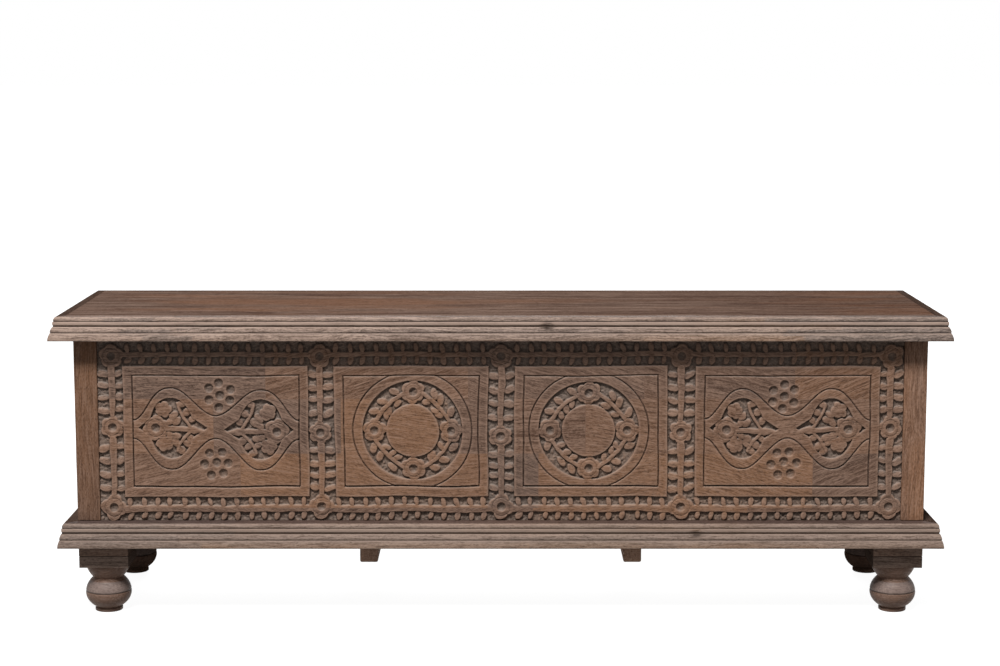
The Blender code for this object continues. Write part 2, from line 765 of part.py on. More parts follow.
make_feet()
make_base()
make_posts()
back_panel = make_panels()
make_bottom()
rear_lid_board = make_lid()
make_hinges(back_panel, rear_lid_board)
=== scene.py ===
"""Looks of the carved storage chest: carved front, moulded edges, turned feet and the woods they are made of.

Metres, +Z up, front towards -Y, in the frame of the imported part. New pieces are grids and carried profiles
worked out with numpy.
"""

from math import cos, pi, radians, sin

import bpy
import numpy as np
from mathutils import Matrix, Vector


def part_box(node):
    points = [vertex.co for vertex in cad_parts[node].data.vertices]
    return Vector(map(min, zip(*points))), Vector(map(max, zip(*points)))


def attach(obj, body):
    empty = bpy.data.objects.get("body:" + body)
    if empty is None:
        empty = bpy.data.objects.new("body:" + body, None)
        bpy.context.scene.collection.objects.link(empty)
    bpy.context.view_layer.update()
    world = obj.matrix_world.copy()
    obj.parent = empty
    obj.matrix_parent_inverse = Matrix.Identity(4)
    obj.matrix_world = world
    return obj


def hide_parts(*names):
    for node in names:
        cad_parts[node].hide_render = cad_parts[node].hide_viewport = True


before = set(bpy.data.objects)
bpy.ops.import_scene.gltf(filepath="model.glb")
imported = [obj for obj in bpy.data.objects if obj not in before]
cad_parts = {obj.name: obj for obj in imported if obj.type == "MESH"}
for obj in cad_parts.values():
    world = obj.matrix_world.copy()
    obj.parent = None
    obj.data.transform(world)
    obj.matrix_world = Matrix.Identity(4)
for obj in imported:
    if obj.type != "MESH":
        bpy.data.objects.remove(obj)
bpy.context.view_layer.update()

# Photograph's camera: a long lens in front of the chest's middle, looking a little down
PHOTO_WIDTH_PX = 1000
FOCAL_PX = 2121.0
SENSOR_MM = 36.0
CAMERA_PITCH = radians(7.812)
CAMERA_DISTANCE = 3.170  # from the lid's front edge
CAMERA_RISE = 0.4116  # above the lid's top
CAMERA_SIDE = -0.0010  # from the chest's middle

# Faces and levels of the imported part
PANEL_LOW, PANEL_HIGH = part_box("front_panel")
LID_LOW, LID_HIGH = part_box("lid_moulding_front")
BASE_LOW, BASE_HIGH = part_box("base_moulding_front")
PANEL_SIDE = -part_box("post_front_left")[1].x
FRONT = PANEL_LOW.y
FRONT_INNER = PANEL_HIGH.y
Z_BODY = PANEL_LOW.z
Z_SEAT = PANEL_HIGH.z
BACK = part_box("back_panel")[1].y

# Carved front
DEPTH = 0.0052  # of the carving
CELL = 0.00076  # of the grid that holds it
WALL = 0.0011  # run of a chisel-cut wall from ground to face
CROWN = 0.10  # share of its height by which a carved form falls off from its middle to its rim
DOME = 0.25  # and by which a leaf or a bud does
BOTTOM_BAND = 0.037
FIELD_HEIGHT = 0.204
FRAME_LINE = 0.0150  # from a field's edge to the line cut round it
FRAME_LINE_FOOT = 0.0168
LINE_HALF = 0.0016
LINE_DEPTH = 0.0028
ROSETTE_OFF = 0.0155  # from a field's edge to the middle of the rosettes above or below it
STEM_OFF = 0.0182  # and to the middle of the vine's stem
HAND_WANDER, WANDER_SIZE = 0.0006, 0.022  # how far hand-cut outlines stray, and over which distance
HAND_SLIP, SLIP_SIZE = 0.0004, 0.004  # and those of leaves, stems and petals
CUP_DEPTH = 0.0046

# Hand-laid layout, from the left: columns, how far up their middle rosettes sit, and the fields' sides
COLUMN_X = (-0.5950, -0.2762, 0.0005, 0.2768, 0.5972)
MIDDLE_ROSETTE_RISE = (0.0064, -0.0012, -0.0075, -0.0022, 0.0048)
FIELDS = ((-0.5790, -0.2940), (-0.2551, -0.0184), (0.0199, 0.2566), (0.2979, 0.5814))
ROUNDELS = ((-0.1346, 0.0020), (0.1351, 0.0019))  # middle, and how far above the field's own
SPRIG_RISE = ((0.0055, 0.0002), (0.0020, 0.0040))  # of each strap field's left and right rosette
CLUSTERS = (((0.0055, 0.0573), (0.0, -0.0485)), ((-0.0067, 0.0551), (-0.0049, -0.0489)))  # upper and lower

FIELD_LOW = Z_BODY + BOTTOM_BAND
FIELD_HIGH = FIELD_LOW + FIELD_HEIGHT
FIELD_Z = (FIELD_LOW + FIELD_HIGH) / 2
ROSETTE_ROWS = (FIELD_LOW - ROSETTE_OFF, FIELD_HIGH + ROSETTE_OFF)
STEM_ROWS = (FIELD_LOW - STEM_OFF, FIELD_HIGH + STEM_OFF)

# Glued staves of the front, row by row from the top: its foot, then each stave's right end and its tone,
# from -1, greyed, to 1, orange
STAVE_ROWS = (
    (0.340, ((-0.36, -0.8), (-0.05, 0.3), (0.22, -0.5), (0.45, -0.4), (0.62, 0.4))),
    (0.255, ((-0.44, 0.4), (-0.245, -0.6), (-0.08, 1.0), (0.02, -0.5), (0.13, 0.1), (0.36, 0.4),
             (0.62, 0.3))),
    (0.170, ((-0.40, 0.2), (-0.17, 1.0), (-0.02, 0.8), (0.058, -1.0), (0.24, 0.8), (0.48, 1.0),
             (0.62, -0.3))),
    (0.0, ((-0.30, -0.5), (0.05, -0.4), (0.38, 1.0), (0.62, 0.0))),
)

# Staves of the front mouldings in the same way, from -1, weathered grey, to 1, pale
LID_STAVES = ((-0.545, 0.6), (-0.465, -0.7), (-0.20, 0.4), (0.03, -0.3),
              (0.22, -0.4), (0.29, 0.2), (0.46, -0.1), (0.70, -1.0))
BASE_STAVES = ((-0.46, -0.6), (-0.22, 0.0), (0.04, 0.4), (0.27, -0.35), (0.50, 0.0), (0.70, 0.3))
PLAIN = ((9.0, 0.0),)  # one stave that ends past any piece
NO_KNOT = 9.0  # a place past any piece

POST_ARRIS = 0.0012
BLOCK_ARRIS = 0.0007

chance = np.random.default_rng(7)


# Mesh helpers


def add_object(name, data):
    made = bpy.data.objects.new(name, data)
    bpy.context.scene.collection.objects.link(made)
    return made


def add_piece(name, points, faces, finish, body, nodes, layers=None, sharp=radians(40)):
    """One mesh object from an n x 3 array of points and arrays of faces, each with its own corner count."""
    mesh = bpy.data.meshes.new(name)
    mesh.from_pydata(points.tolist(), [], [face for block in faces for face in block.tolist()])
    mesh.validate()
    for layer, values in (layers or {}).items():
        mesh.attributes.new(layer, "FLOAT", "POINT").data.foreach_set("value", values.astype(np.float32))
    mesh.shade_smooth()
    mesh.set_sharp_from_angle(angle=sharp)
    mesh.materials.append(finish)
    piece = add_object(name, mesh)
    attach(piece, body)
    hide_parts(*nodes)


def grid_faces(rows, columns, wrap=False):
    """Quads over points that are stored row by row, joined round when wrap is set."""
    index = np.arange(rows * columns).reshape(rows, columns)
    if wrap:
        index = np.concatenate([index, index[:, :1]], axis=1)
    quads = [index[:-1, :-1], index[:-1, 1:], index[1:, 1:], index[1:, :-1]]
    return np.stack(quads, axis=-1).reshape(-1, 4)


def uneven(points, size, seed):
    """Slow unevenness of hand work, -1 to 1: a few sine waves across the place, of about the size given."""
    draw = np.random.default_rng(seed)
    total = np.zeros(len(points))
    for _ in range(5):
        wave = draw.normal(size=3)
        wave *= 2 * pi / (size * draw.uniform(0.6, 1.6) * np.linalg.norm(wave))
        total += np.sin(points @ wave + draw.uniform(0, 2 * pi))
    return total / 5


def clouds(size, seed):
    """Soft random field over the grid, with mean 0 and spread 1: white noise under a Gaussian."""
    soft = blurred(np.random.default_rng(seed).normal(size=FLAT_X.shape), size)
    return (soft - soft.mean()) / soft.std()


def blurred(values, size):
    """Gaussian blur over the grid by its Fourier transform, with mirrored edges."""
    size /= CELL
    pad = int(3 * size) + 1
    wide = np.pad(values, pad, mode="reflect")
    rows = np.fft.fftfreq(wide.shape[0])[:, None]
    columns = np.fft.rfftfreq(wide.shape[1])[None, :]
    soft = np.exp(-2 * (pi * size) ** 2 * (rows**2 + columns**2))
    return np.fft.irfft2(np.fft.rfft2(wide) * soft, s=wide.shape)[pad:-pad, pad:-pad]


# Carved front: its relief is a height over a grid, 0 on the sunk ground and DEPTH on the face


def even_ticks(low, high):
    return np.linspace(low, high, int(round((high - low) / CELL)) + 1)


TICKS_X = even_ticks(-PANEL_SIDE, PANEL_SIDE)
TICKS_Z = even_ticks(Z_BODY, Z_SEAT)
FLAT_X, FLAT_Z = np.meshgrid(TICKS_X, TICKS_Z)
GRID_X = FLAT_X + HAND_WANDER * clouds(WANDER_SIZE, 11)
GRID_Z = FLAT_Z + HAND_WANDER * clouds(WANDER_SIZE, 12)
LOOSE_X = GRID_X + HAND_SLIP * clouds(SLIP_SIZE, 13)
LOOSE_Z = GRID_Z + HAND_SLIP * clouds(SLIP_SIZE, 14)
relief = np.zeros(FLAT_X.shape)


def stray(scale):
    return chance.normal(scale=scale)


def near(x, z, reach):
    """The block of the grid within reach of a place."""
    reach += 4 * (HAND_WANDER + HAND_SLIP)
    return within(x - reach, x + reach, z - reach, z + reach)


def within(x0, x1, z0, z1):
    """The block of the grid inside a rectangle."""
    i0, i1 = np.searchsorted(TICKS_X, (x0, x1))
    j0, j1 = np.searchsorted(TICKS_Z, (z0, z1))
    return np.s_[j0:j1, i0:i1]


def framed(field):
    """The block of the grid inside the line cut round a field."""
    x0, x1 = field
    return within(x0 + FRAME_LINE, x1 - FRAME_LINE, FIELD_LOW + FRAME_LINE_FOOT, FIELD_HIGH - FRAME_LINE)


def from_place(spot, x, z):
    return np.hypot(GRID_X[spot] - x, GRID_Z[spot] - z)


def step_up(inside):
    """A wall's share of its full height at a distance inside its outline: 1 - (1 - t)^2 over its run."""
    return 1 - (1 - np.clip(inside / WALL, 0, 1)) ** 2


def raise_pad(x, z, long, wide, lean, top, tilt=0.0, square=2.0, crown=CROWN):
    """A leaf pad: walls about a leaning ellipse, or a squarer form, and a top that falls off to its rim.

    The share of the way to the rim is (a^n + b^n)^(1/n), n being square. tilt is the share of its height
    that the pad loses from its lower edge to its upper one.
    """
    spot = near(x, z, 1.2 * max(long, wide))
    dx = LOOSE_X[spot] - x
    dz = LOOSE_Z[spot] - z
    along = np.abs(dx * cos(lean) + dz * sin(lean)) / long
    across = np.abs(dz * cos(lean) - dx * sin(lean)) / wide
    rim = (along**square + across**square) ** (1 / square)
    wall = step_up((1 - rim) * min(long, wide)) * (1 - crown * rim**2)
    slant = 1 - tilt * (0.5 + 0.5 * np.clip(dz / wide, -1, 1))
    np.maximum(relief[spot], top * wall * slant, out=relief[spot])


def raise_stem(start, end, half_start, half_end, top):
    """A stem between two places, walled and crowned as a pad, its half width going evenly from end to end."""
    x, z = start
    run, rise = end[0] - x, end[1] - z
    length = np.hypot(run, rise)
    spot = near(x + run / 2, z + rise / 2, length / 2 + max(half_start, half_end))
    dx = LOOSE_X[spot] - x
    dz = LOOSE_Z[spot] - z
    share = np.clip((dx * run + dz * rise) / length**2, 0, 1)
    off = np.hypot(dx - share * run, dz - share * rise)
    half = half_start + (half_end - half_start) * share
    wall = step_up(half - off) * (1 - CROWN * np.clip(off / half, 0, 1) ** 2)
    np.maximum(relief[spot], top * wall, out=relief[spot])


def sink_cup(x, z, radius, depth):
    """A gouged cup: depth * (1 - r^2)^0.5 over its radius."""
    spot = near(x, z, radius)
    away = from_place(spot, x, z) / radius
    relief[spot] -= depth * np.clip(1 - away**2, 0, 1) ** 0.5


def sink_line(spot, distance):
    """A V-cut line where distance is 0."""
    relief[spot] -= LINE_DEPTH * np.clip(1 - np.abs(distance) / LINE_HALF, 0, 1)


def raise_rosette(x, z, radius, petals, turn, top, cup=0.0):
    """Round petals about a boss, each a circle; where cup is set, a drilled cup in a scribed ring."""
    boss, petal_top, ring_half, ring_depth = 0.66 * radius, 0.93 * top, 0.0012, 0.0009
    petal = radius * (0.78 - 0.055 * petals)
    reach = radius - petal
    for k in range(petals):
        angle = turn + 2 * pi * k / petals
        raise_pad(x + reach * cos(angle), z + reach * sin(angle), petal, petal, 0.0, petal_top)
    raise_pad(x, z, boss, boss, 0.0, top)
    if cup:
        spot = near(x, z, radius)
        away = from_place(spot, x, z)
        relief[spot] -= ring_depth * np.clip(1 - np.abs(away - boss) / ring_half, 0, 1)
        sink_cup(x, z, cup, CUP_DEPTH)


def raise_field(x0, x1):
    """A raised plate with chisel-cut walls and a line cut inside its edge, twice as deep at its foot."""
    sides = np.minimum(GRID_X - x0, x1 - GRID_X)
    inside = np.minimum(sides, np.minimum(GRID_Z - FIELD_LOW, FIELD_HIGH - GRID_Z))
    np.maximum(relief, DEPTH * step_up(inside), out=relief)
    above_line = GRID_Z - FIELD_LOW - FRAME_LINE_FOOT
    levels = np.minimum(above_line, FIELD_HIGH - FRAME_LINE - GRID_Z)
    spot = within(x0, x1, FIELD_LOW, FIELD_HIGH)
    sink_line(spot, np.minimum(sides - FRAME_LINE, levels)[spot])
    foot = within(x0 + FRAME_LINE, x1 - FRAME_LINE, FIELD_LOW, FIELD_Z)
    sink_line(foot, above_line[foot])


def vine_row(x0, x1, z, count, slant, stem_half):
    """A broad level stem, upright buds above it, and drop-like ones below, the first leaning by slant."""
    top, tilt, scatter, wobble, fade = DEPTH - 0.0004, 0.1, 0.0008, 7, 1.7
    bud = (1, -0.0010, 0.0050, 0.0092, 0.0045, 10, 1.8, 0.0)
    drop = (-1, 0.0, 0.0046, 0.0082, 0.0047, 8, 1.9, slant)
    raise_stem((x0, z), (x1, z), stem_half, stem_half, top)
    for k in range(count):
        x = x0 + (x1 - x0) * (k + 0.5) / count + stray(scatter)
        size = chance.uniform(0.92, 1.08)
        for side, shift, off, long, wide, turn, square, slanted in (bud, drop):
            lean = pi / 2 - slanted * max(0, 1 - fade * k / count) + side * radians(turn + stray(wobble))
            raise_pad(x + shift, z + side * (stem_half + off), long * size, wide * size,
                      lean, top, tilt, square, DOME)


def vine_column(x, walls, z0, z1, count):
    """A stem that tapers downwards, with shelf-like pads in pairs from it to the walls on both sides."""
    stem_low, stem_high, overlap = 0.0046, 0.0062, 0.0020
    pad_tall, pad_lean, wobble, scatter, tilt, square = 0.0057, 10, 12, 0.0010, 0.4, 2.6
    top = DEPTH - 0.0003
    raise_stem((x, z0), (x, z1), stem_low, stem_high, top)
    for k in range(count):
        z = z0 + (z1 - z0) * (k + 0.5) / count
        for wall in walls:
            side = 1 if wall > x else -1
            reach = abs(wall - x)
            lean = side * radians(pad_lean + stray(wobble))
            tall = pad_tall * chance.uniform(0.85, 1.08)
            long = (reach - stem_low) / 2 + overlap
            middle = x + side * (reach + stem_low) / 2
            raise_pad(middle, z + stray(scatter), long, tall, lean, top, tilt, square, DOME)


def carve_bands():
    """Rosettes where the bands cross and about halfway up them, with vines between."""
    sizes, petals, cup, turn_spread = (0.0208, 0.0188, 0.0200), (4, 6, 5), 0.0068, 0.12
    gap, pads, bud_pitch, stem_halves = 0.0195, 4, 0.0205, (0.0060, 0.0044)
    first_slant, slant = radians(38), radians(12)
    top = DEPTH - 0.0002
    low, high = ROSETTE_ROWS
    edges = [-PANEL_SIDE] + [x for field in FIELDS for x in field] + [PANEL_SIDE]
    for k, (x, rise) in enumerate(zip(COLUMN_X, MIDDLE_ROSETTE_RISE)):
        middle = FIELD_Z + rise
        walls = edges[2 * k : 2 * k + 2]
        vine_column(x, walls, low + gap, middle - gap, pads)
        vine_column(x, walls, middle + gap, high - gap, pads)
    for z, stem_half in zip(STEM_ROWS, stem_halves):
        for x0, x1 in zip(COLUMN_X, COLUMN_X[1:]):
            count = int(round((x1 - x0 - 2 * gap) / bud_pitch))
            lean = first_slant if x0 == COLUMN_X[0] else slant
            vine_row(x0 + 0.8 * gap, x1 - 0.8 * gap, z, count, lean, stem_half)
    for x, rise in zip(COLUMN_X, MIDDLE_ROSETTE_RISE):
        for z, size, count in zip((low, FIELD_Z + rise, high), sizes, petals):
            turn = pi / 2 + stray(turn_spread)
            raise_rosette(x, z, size, count, turn, top, cup)


def carve_roundel(field, x, rise):
    """A wreath sunk in a ring round a plain disc: four rosettes, with a leafy sprig between each two."""
    ring_in, ring_out, line_out, sunk = 0.0405, 0.0768, 0.0918, 0.0049
    wreath, dip, rosette, cup, stem = 0.0590, 0.0044, 0.0194, 0.0066, 0.0037
    leaf_long, leaf_wide, leaf_off, leaf_lean, tilt, square = 0.0090, 0.0056, 0.0093, 0.75, 0.2, 2.1
    middle, reach = 45, 31
    top = DEPTH - 0.0003
    z = FIELD_Z + rise
    inside = framed(field)
    away = from_place(inside, x, z)
    sink_line(inside, away - line_out)
    relief[inside] -= sunk * step_up(np.minimum(away - ring_in, ring_out - away))

    def place(radius, angle):
        return x + radius * cos(angle), z + radius * sin(angle)

    def sprig_place(start, angle, off=0.0):
        """A place off the sprig's stem, which dips towards the disc halfway along."""
        share = (angle - middle) / reach
        return place(wreath + off - dip * (1 - share**2), start + radians(angle))

    for quarter in range(4):
        start = quarter * pi / 2
        bends = [sprig_place(start, angle) for angle in (middle - reach, 35, 55, middle + reach)]
        for bend, following in zip(bends, bends[1:]):
            raise_stem(bend, following, stem, stem, top)
        for side, size, angles in ((1, 1.05, (26, 44, 62)), (-1, 0.88, (30, 46, 62))):
            for angle in angles:
                angle += stray(3)
                spot = sprig_place(start, angle, side * size * leaf_off)
                lean = start + radians(angle) + side * leaf_lean + stray(0.25)
                raise_pad(*spot, size * leaf_long, size * leaf_wide, lean, top, tilt, square, DOME)
    for quarter in range(4):
        petals = (5, 6)[quarter % 2]
        turn = quarter * pi / 2 + stray(0.2)
        raise_rosette(*place(wreath, quarter * pi / 2), rosette, petals, turn, top, cup)


def strap_edge(across, waist, peak, end):
    """The strap's outer line: cosine swings from the waist out to the peak and on down to the end.

    A power of the share of the way keeps the outer swing full at first.
    """
    peak_at, end_run, fullness = 0.067, 0.060, 1.3
    out = np.abs(across)
    rising = waist + (peak - waist) * (1 - np.cos(pi * np.clip(out / peak_at, 0, 1))) / 2
    share = np.clip((out - peak_at) / end_run, 0, 1) ** fullness
    falling = peak - (peak - end) * (1 - np.cos(pi * share)) / 2
    return np.where(out < peak_at, rising, falling)


def lobe_edge(along):
    """Half height of a sunk lobe by the distance along from the strap's waist; negative past its ends.

    A round body, wider on one side of its middle, joined by a fifth-power mean to two drawn-out points.
    """
    middle, inner, outer, tip_in, tip_out = 0.0680, 0.0325, 0.0340, 0.0130, 0.1195
    half, point, most = 0.0465, 0.32, 0.6
    off = along - middle
    body = np.where(off < 0, inner, outer)
    tip = np.where(off < 0, middle - tip_in, tip_out - middle)
    rounded = np.sqrt(np.clip(1 - (off / body) ** 2, 0, 1))
    drawn = np.clip(point * (tip - np.abs(off)) / (tip - body), 0, most)
    return np.where(np.abs(off) < tip, half * (rounded**5 + drawn**5) ** 0.2, -1.0)


def carve_strap(field, rises, clusters):
    """A double-lobed strap between two wavy lines, a flowering sprig sunk in each lobe, gouged clusters."""
    sunk, lobe_rise, follow, middle_rise = 0.0049, 0.0035, 0.4, 0.0028
    upper_line, lower_line = (1, 0.0245, 0.0665, 0.0180), (-1, 0.0100, 0.0585, 0.0115)
    x = sum(field) / 2
    inside = framed(field)
    across = GRID_X[inside] - x
    up = GRID_Z[inside] - FIELD_Z
    step = TICKS_X[1] - TICKS_X[0]
    swell = np.where(across < 0, *rises) - middle_rise
    for way, waist, peak, end in (upper_line, lower_line):
        edge = way * strap_edge(across, waist, peak + way * follow * swell, end)
        slope = np.gradient(edge, step, axis=1)
        sink_line(inside, (up - edge) / np.hypot(1, slope))
    for way, rise in zip((-1, 1), rises):
        lobe = lobe_edge(way * across)
        slope = np.gradient(np.maximum(lobe, 0), step, axis=1)
        off = np.abs(up - lobe_rise - follow * rise)
        relief[inside] -= sunk * step_up((lobe - off) / np.hypot(1, slope))
        carve_sprig(x, way, rise)
    for (dx, dz), turn in zip(clusters, (radians(86), radians(3))):
        drill_cluster(x + dx, FIELD_Z + dz, turn)


def carve_sprig(x, way, rise):
    """A rosette at the lobe's outer end, a barbed stem to its inner tip, two flowers and two leafy shoots."""
    top = DEPTH - 0.0003
    rosette_at, rosette, cup = 0.0937, 0.0208, 0.0070
    flower_at, flower = 0.0800, 0.0138
    shoot_low, shoot_high = 0.0031, 0.0027
    leaf_long, leaf_wide, leaf_lean, drift, tilt, square = 0.0086, 0.0060, -0.65, 0.0010, 0.2, 1.9
    barb = ((0.0140, 0.0340, 0.0008, 0.0068), (0.0340, 0.0460, 0.0066, 0.0046),
            (0.0460, 0.0780, 0.0046, 0.0042))
    upper = (1, 0.0300, ((0.0390, 0.003), (0.0490, 0.017), (0.0555, 0.029), (0.0585, 0.040)),
             ((0.0372, 0.0155), (0.0448, 0.0275), (0.0530, 0.0395),
              (0.0605, 0.0125), (0.0665, 0.0215), (0.0700, 0.0105)))
    lower = (-1, 0.0232, ((0.0400, 0.003), (0.0500, 0.014), (0.0570, 0.024), (0.0605, 0.033)),
             ((0.0405, 0.0125), (0.0480, 0.0225), (0.0555, 0.0325),
              (0.0615, 0.0115), (0.0640, 0.0205), (0.0700, 0.0095)))

    def place(along, off):
        return x + way * along, FIELD_Z + rise * along / rosette_at + off

    for a0, a1, half_start, half_end in barb:
        raise_stem(place(a0, 0.0), place(a1, 0.0), half_start, half_end, top)
    for side, flower_off, shoot, leaves in (upper, lower):
        for (a0, r0), (a1, r1) in zip(shoot, shoot[1:]):
            raise_stem(place(a0, side * r0), place(a1, side * r1), shoot_low, shoot_high, top)
        for along, off in leaves:
            lean = side * way * (leaf_lean + stray(0.2))
            spot = place(along + stray(drift), side * off + stray(drift))
            size = chance.uniform(0.9, 1.1)
            raise_pad(*spot, leaf_long * size, leaf_wide * size, lean, top, tilt, square, DOME)
        raise_rosette(*place(flower_at, side * flower_off), flower, 5, side * pi / 2 + 0.3 * way, top)
    raise_rosette(*place(rosette_at, 0.0), rosette, 6, 0.3, top, cup)


def drill_cluster(x, z, turn):
    """One cup with six round it."""
    pitch, cup, depth, scatter = 0.0188, 0.0071, 0.9 * CUP_DEPTH, 0.0011
    for k in range(-1, 6):
        reach, angle = pitch * (k >= 0), turn + k * pi / 3
        drift = chance.normal(scale=scatter, size=2)
        sink_cup(x + reach * cos(angle) + drift[0], z + reach * sin(angle) + drift[1], cup, depth)


def carved_height():
    """The whole front's height: bands of vine round four raised fields, each field with its own ornament."""
    gouge_marks, gouge_size, plane_marks, plane_size = 0.0005, 0.0012, 0.00008, 0.0060
    carve_bands()
    for field in FIELDS:
        raise_field(*field)
    for field, (x, rise) in zip(FIELDS[1:3], ROUNDELS):
        carve_roundel(field, x, rise)
    for field, rises, clusters in zip((FIELDS[0], FIELDS[3]), SPRIG_RISE, CLUSTERS):
        carve_strap(field, rises, clusters)
    gouged = np.clip(1 - relief / DEPTH, 0, 1)
    marked = relief + gouged * gouge_marks * clouds(gouge_size, 21)
    marked += plane_marks * clouds(plane_size, 22)
    return np.minimum(marked, DEPTH)


def stave_at(place, staves):
    """The order and the tone of the stave that holds each place, for staves given by far ends and tones."""
    ends, tones = np.array(staves).T
    order = np.minimum(np.searchsorted(ends, place), len(ends) - 1)
    return order, tones[order]


def stave_layers():
    """Each place's stave as a number of its own, and the stave's tone."""
    number, tone = np.zeros((2, *FLAT_X.shape))
    count = 0
    ceiling = np.inf
    for foot, staves in STAVE_ROWS:
        row = (FLAT_Z < ceiling) & (FLAT_Z >= foot)
        order, tone[row] = stave_at(FLAT_X[row], staves)
        number[row] = count + order
        count += len(staves)
        ceiling = foot
    return number, tone


def make_carved_front(finish):
    """The front cut into upright strips, each a closed block: carved face, sides, and a plain inner face."""
    hollow_reach, broad_reach, seam_off = 0.0026, 0.0030, 0.002
    height = carved_height()
    sunk = np.clip(1 - height / DEPTH, 0, 1)
    # hollow sets painted shade in recesses and painted highlight, with rubbed wear, on ridges; broad weakens
    # the shade on wide ground
    hollow = np.clip((blurred(height, hollow_reach) - height) / hollow_reach, -1, 1)
    broad = blurred(sunk, broad_reach)
    number, tone = stave_layers()
    painted = {"sunk": sunk, "hollow": hollow, "broad": broad, "stave": number, "tone": tone}
    middles = [sum(field) / 2 for field in FIELDS]
    cuts = [-PANEL_SIDE, *middles, *(field[0] + seam_off for field in FIELDS[1:]), PANEL_SIDE]
    index = [int(np.argmin(np.abs(TICKS_X - x))) for x in sorted(cuts)]
    for strip, (i0, i1) in enumerate(zip(index, index[1:])):
        part = np.s_[:, i0 : i1 + 1]
        face = np.stack([FLAT_X[part], FRONT + DEPTH - height[part], FLAT_Z[part]], axis=-1)
        rows, columns = face.shape[:2]
        spots = np.arange(rows * columns).reshape(rows, columns)
        rim = np.concatenate([spots[0, :-1], spots[:-1, -1], spots[-1, :0:-1], spots[:0:-1, 0]])
        points = face.reshape(-1, 3)
        inner = points[rim].copy()
        inner[:, 1] = FRONT_INNER
        middle = inner.mean(axis=0, keepdims=True)
        back = len(points) + np.arange(len(rim))
        following = np.roll(back, -1)
        sides = np.stack([rim, back, following, np.roll(rim, -1)], axis=-1)
        cap = np.stack([following, back, np.full(len(rim), len(points) + len(rim))], axis=-1)
        flat = np.zeros(len(rim) + 1)
        layers = {name: np.concatenate([values[part].ravel(), flat]) for name, values in painted.items()}
        points = np.concatenate([points, inner, middle])
        faces = [grid_faces(rows, columns), sides, cap]
        add_piece("carved_front_%d" % (strip + 1), points, faces, finish, "chest",
                  ["front_panel"], layers, radians(75))


# Mouldings


def moulding_profile(width, height, step):
    """Stepped edge, foot to top: two swelling bands, a hollow, a bead and a quarter round; cut lines between.

    Five columns: inset, rise, how hollow the place is, its tone from greyed to orange, and 1 on the ledge.
    The hollow column paints shade into the cut lines and towards the bands' feet, and where negative paints a
    highlight, with rubbed wear, on the bands' tops, the bead and the quarter round.
    """
    line = 0.0009
    swell = np.linspace(0, 1, 9)
    lean = 1 - np.cos(pi / 2 * swell)
    # Painted shade towards each band's foot, and painted highlight, with rubbed wear, at its top
    shade = (1 - swell) ** 2
    rub_and_highlight = 0.4 * swell**4
    half = np.linspace(0, pi, 13)
    quarter = np.linspace(0, pi / 2, 11)
    bead = np.sin(half)

    def run(inset, rise, hollow=0.0, tone=0.0, ledge=0.0):
        return np.stack(np.broadcast_arrays(inset, rise, hollow, tone, ledge), axis=-1)

    profile = np.concatenate([
        run([0.0005, 0.0], [0.0, 0.0006 / height]),
        run(0.25 * step * lean, 0.03 + 0.294 * swell, 0.22 * shade - rub_and_highlight, 0.8 - 1.4 * swell),
        run([0.25 * step + line] * 2, [0.332, 0.356], 1.0),
        run(step * (0.27 + 0.24 * lean), 0.366 + 0.206 * swell, 0.20 * shade - rub_and_highlight, -0.6),
        run([0.55 * step + line] * 2, [0.586, 0.632], 0.95, 0.6),
        run(step * (0.595 - 0.05 * bead), 0.648 + 0.0740 * (1 - np.cos(half)), -0.6 * bead, 0.1),
        run([0.60 * step + line] * 2, [0.803, 0.826], 1.0),
        run(step * (1 - 0.36 * np.cos(quarter)), 0.836 + 0.164 * np.sin(quarter), -0.2 * np.sin(2 * quarter),
            -0.3, np.clip((quarter - 1.1) / 0.4, 0, 1)),
        run([width, width], [1.0, 0.0], 0.0, 0.0, 1.0),
    ])
    profile[:, 1] *= height
    return profile


def make_moulding(name, profile, length, origin, inward, along, finish, seed, end_mitred=False,
                  staves=PLAIN, knot=NO_KNOT):
    """A profile carried in a straight run: its points lie between the two end cuts, the first of them mitred.

    The members' staves end at staggered places. A knot is a bell-shaped dark spot on the bead and below it.
    """
    station, wear, wear_size, stagger = 0.006, 0.00022, 0.045, 0.06
    knot_dark, knot_half, knot_rise, knot_tall = 1.2, 0.008, 0.62, 0.14
    columns = {"hollow": 2, "tone": 3, "ledge": 4}
    stations = max(2, int(length / station))
    share = np.linspace(0, 1, stations)[:, None]
    inset = profile[None, :, 0]
    stop = length - inset if end_mitred else length
    run = inset + share * (stop - inset)
    origin, inward, along = (np.asarray(v, float) for v in (origin, inward, along))
    points = origin + inset[..., None] * inward + run[..., None] * along
    points[..., 2] += profile[None, :, 1]
    points = points.reshape(-1, 3)
    depth = np.tile(profile[:, 0], stations)
    worn = wear * uneven(points, wear_size, seed) * (depth < profile[:, 0].max() * 0.9)
    points += np.maximum(worn, 0)[:, None] * inward
    count = len(profile)
    faces = grid_faces(stations, count, wrap=True)
    first = np.arange(count)[None, :]
    caps = [first[:, ::-1], first + (stations - 1) * count]
    if np.cross(inward, along)[2] > 0:
        faces = faces[:, ::-1]
        caps = [cap[:, ::-1] for cap in caps]
    layers = {layer: np.tile(profile[:, column], stations) for layer, column in columns.items()}
    share_up = np.tile(profile[:, 1] / profile[:, 1].max(), stations)
    ends_off = stagger * np.sin(2.6 * np.floor(share_up * 4.2))
    layers["weather"] = stave_at(points[:, 0] + ends_off, staves)[1]
    off = ((points[:, 0] - knot) / knot_half) ** 2 + ((share_up - knot_rise) / knot_tall) ** 2
    layers["hollow"] += knot_dark * np.exp(-off)
    body = "lid" if name.startswith("lid") else "chest"
    add_piece("moulded_" + name, points, [faces, *caps], finish, body, [name], layers)


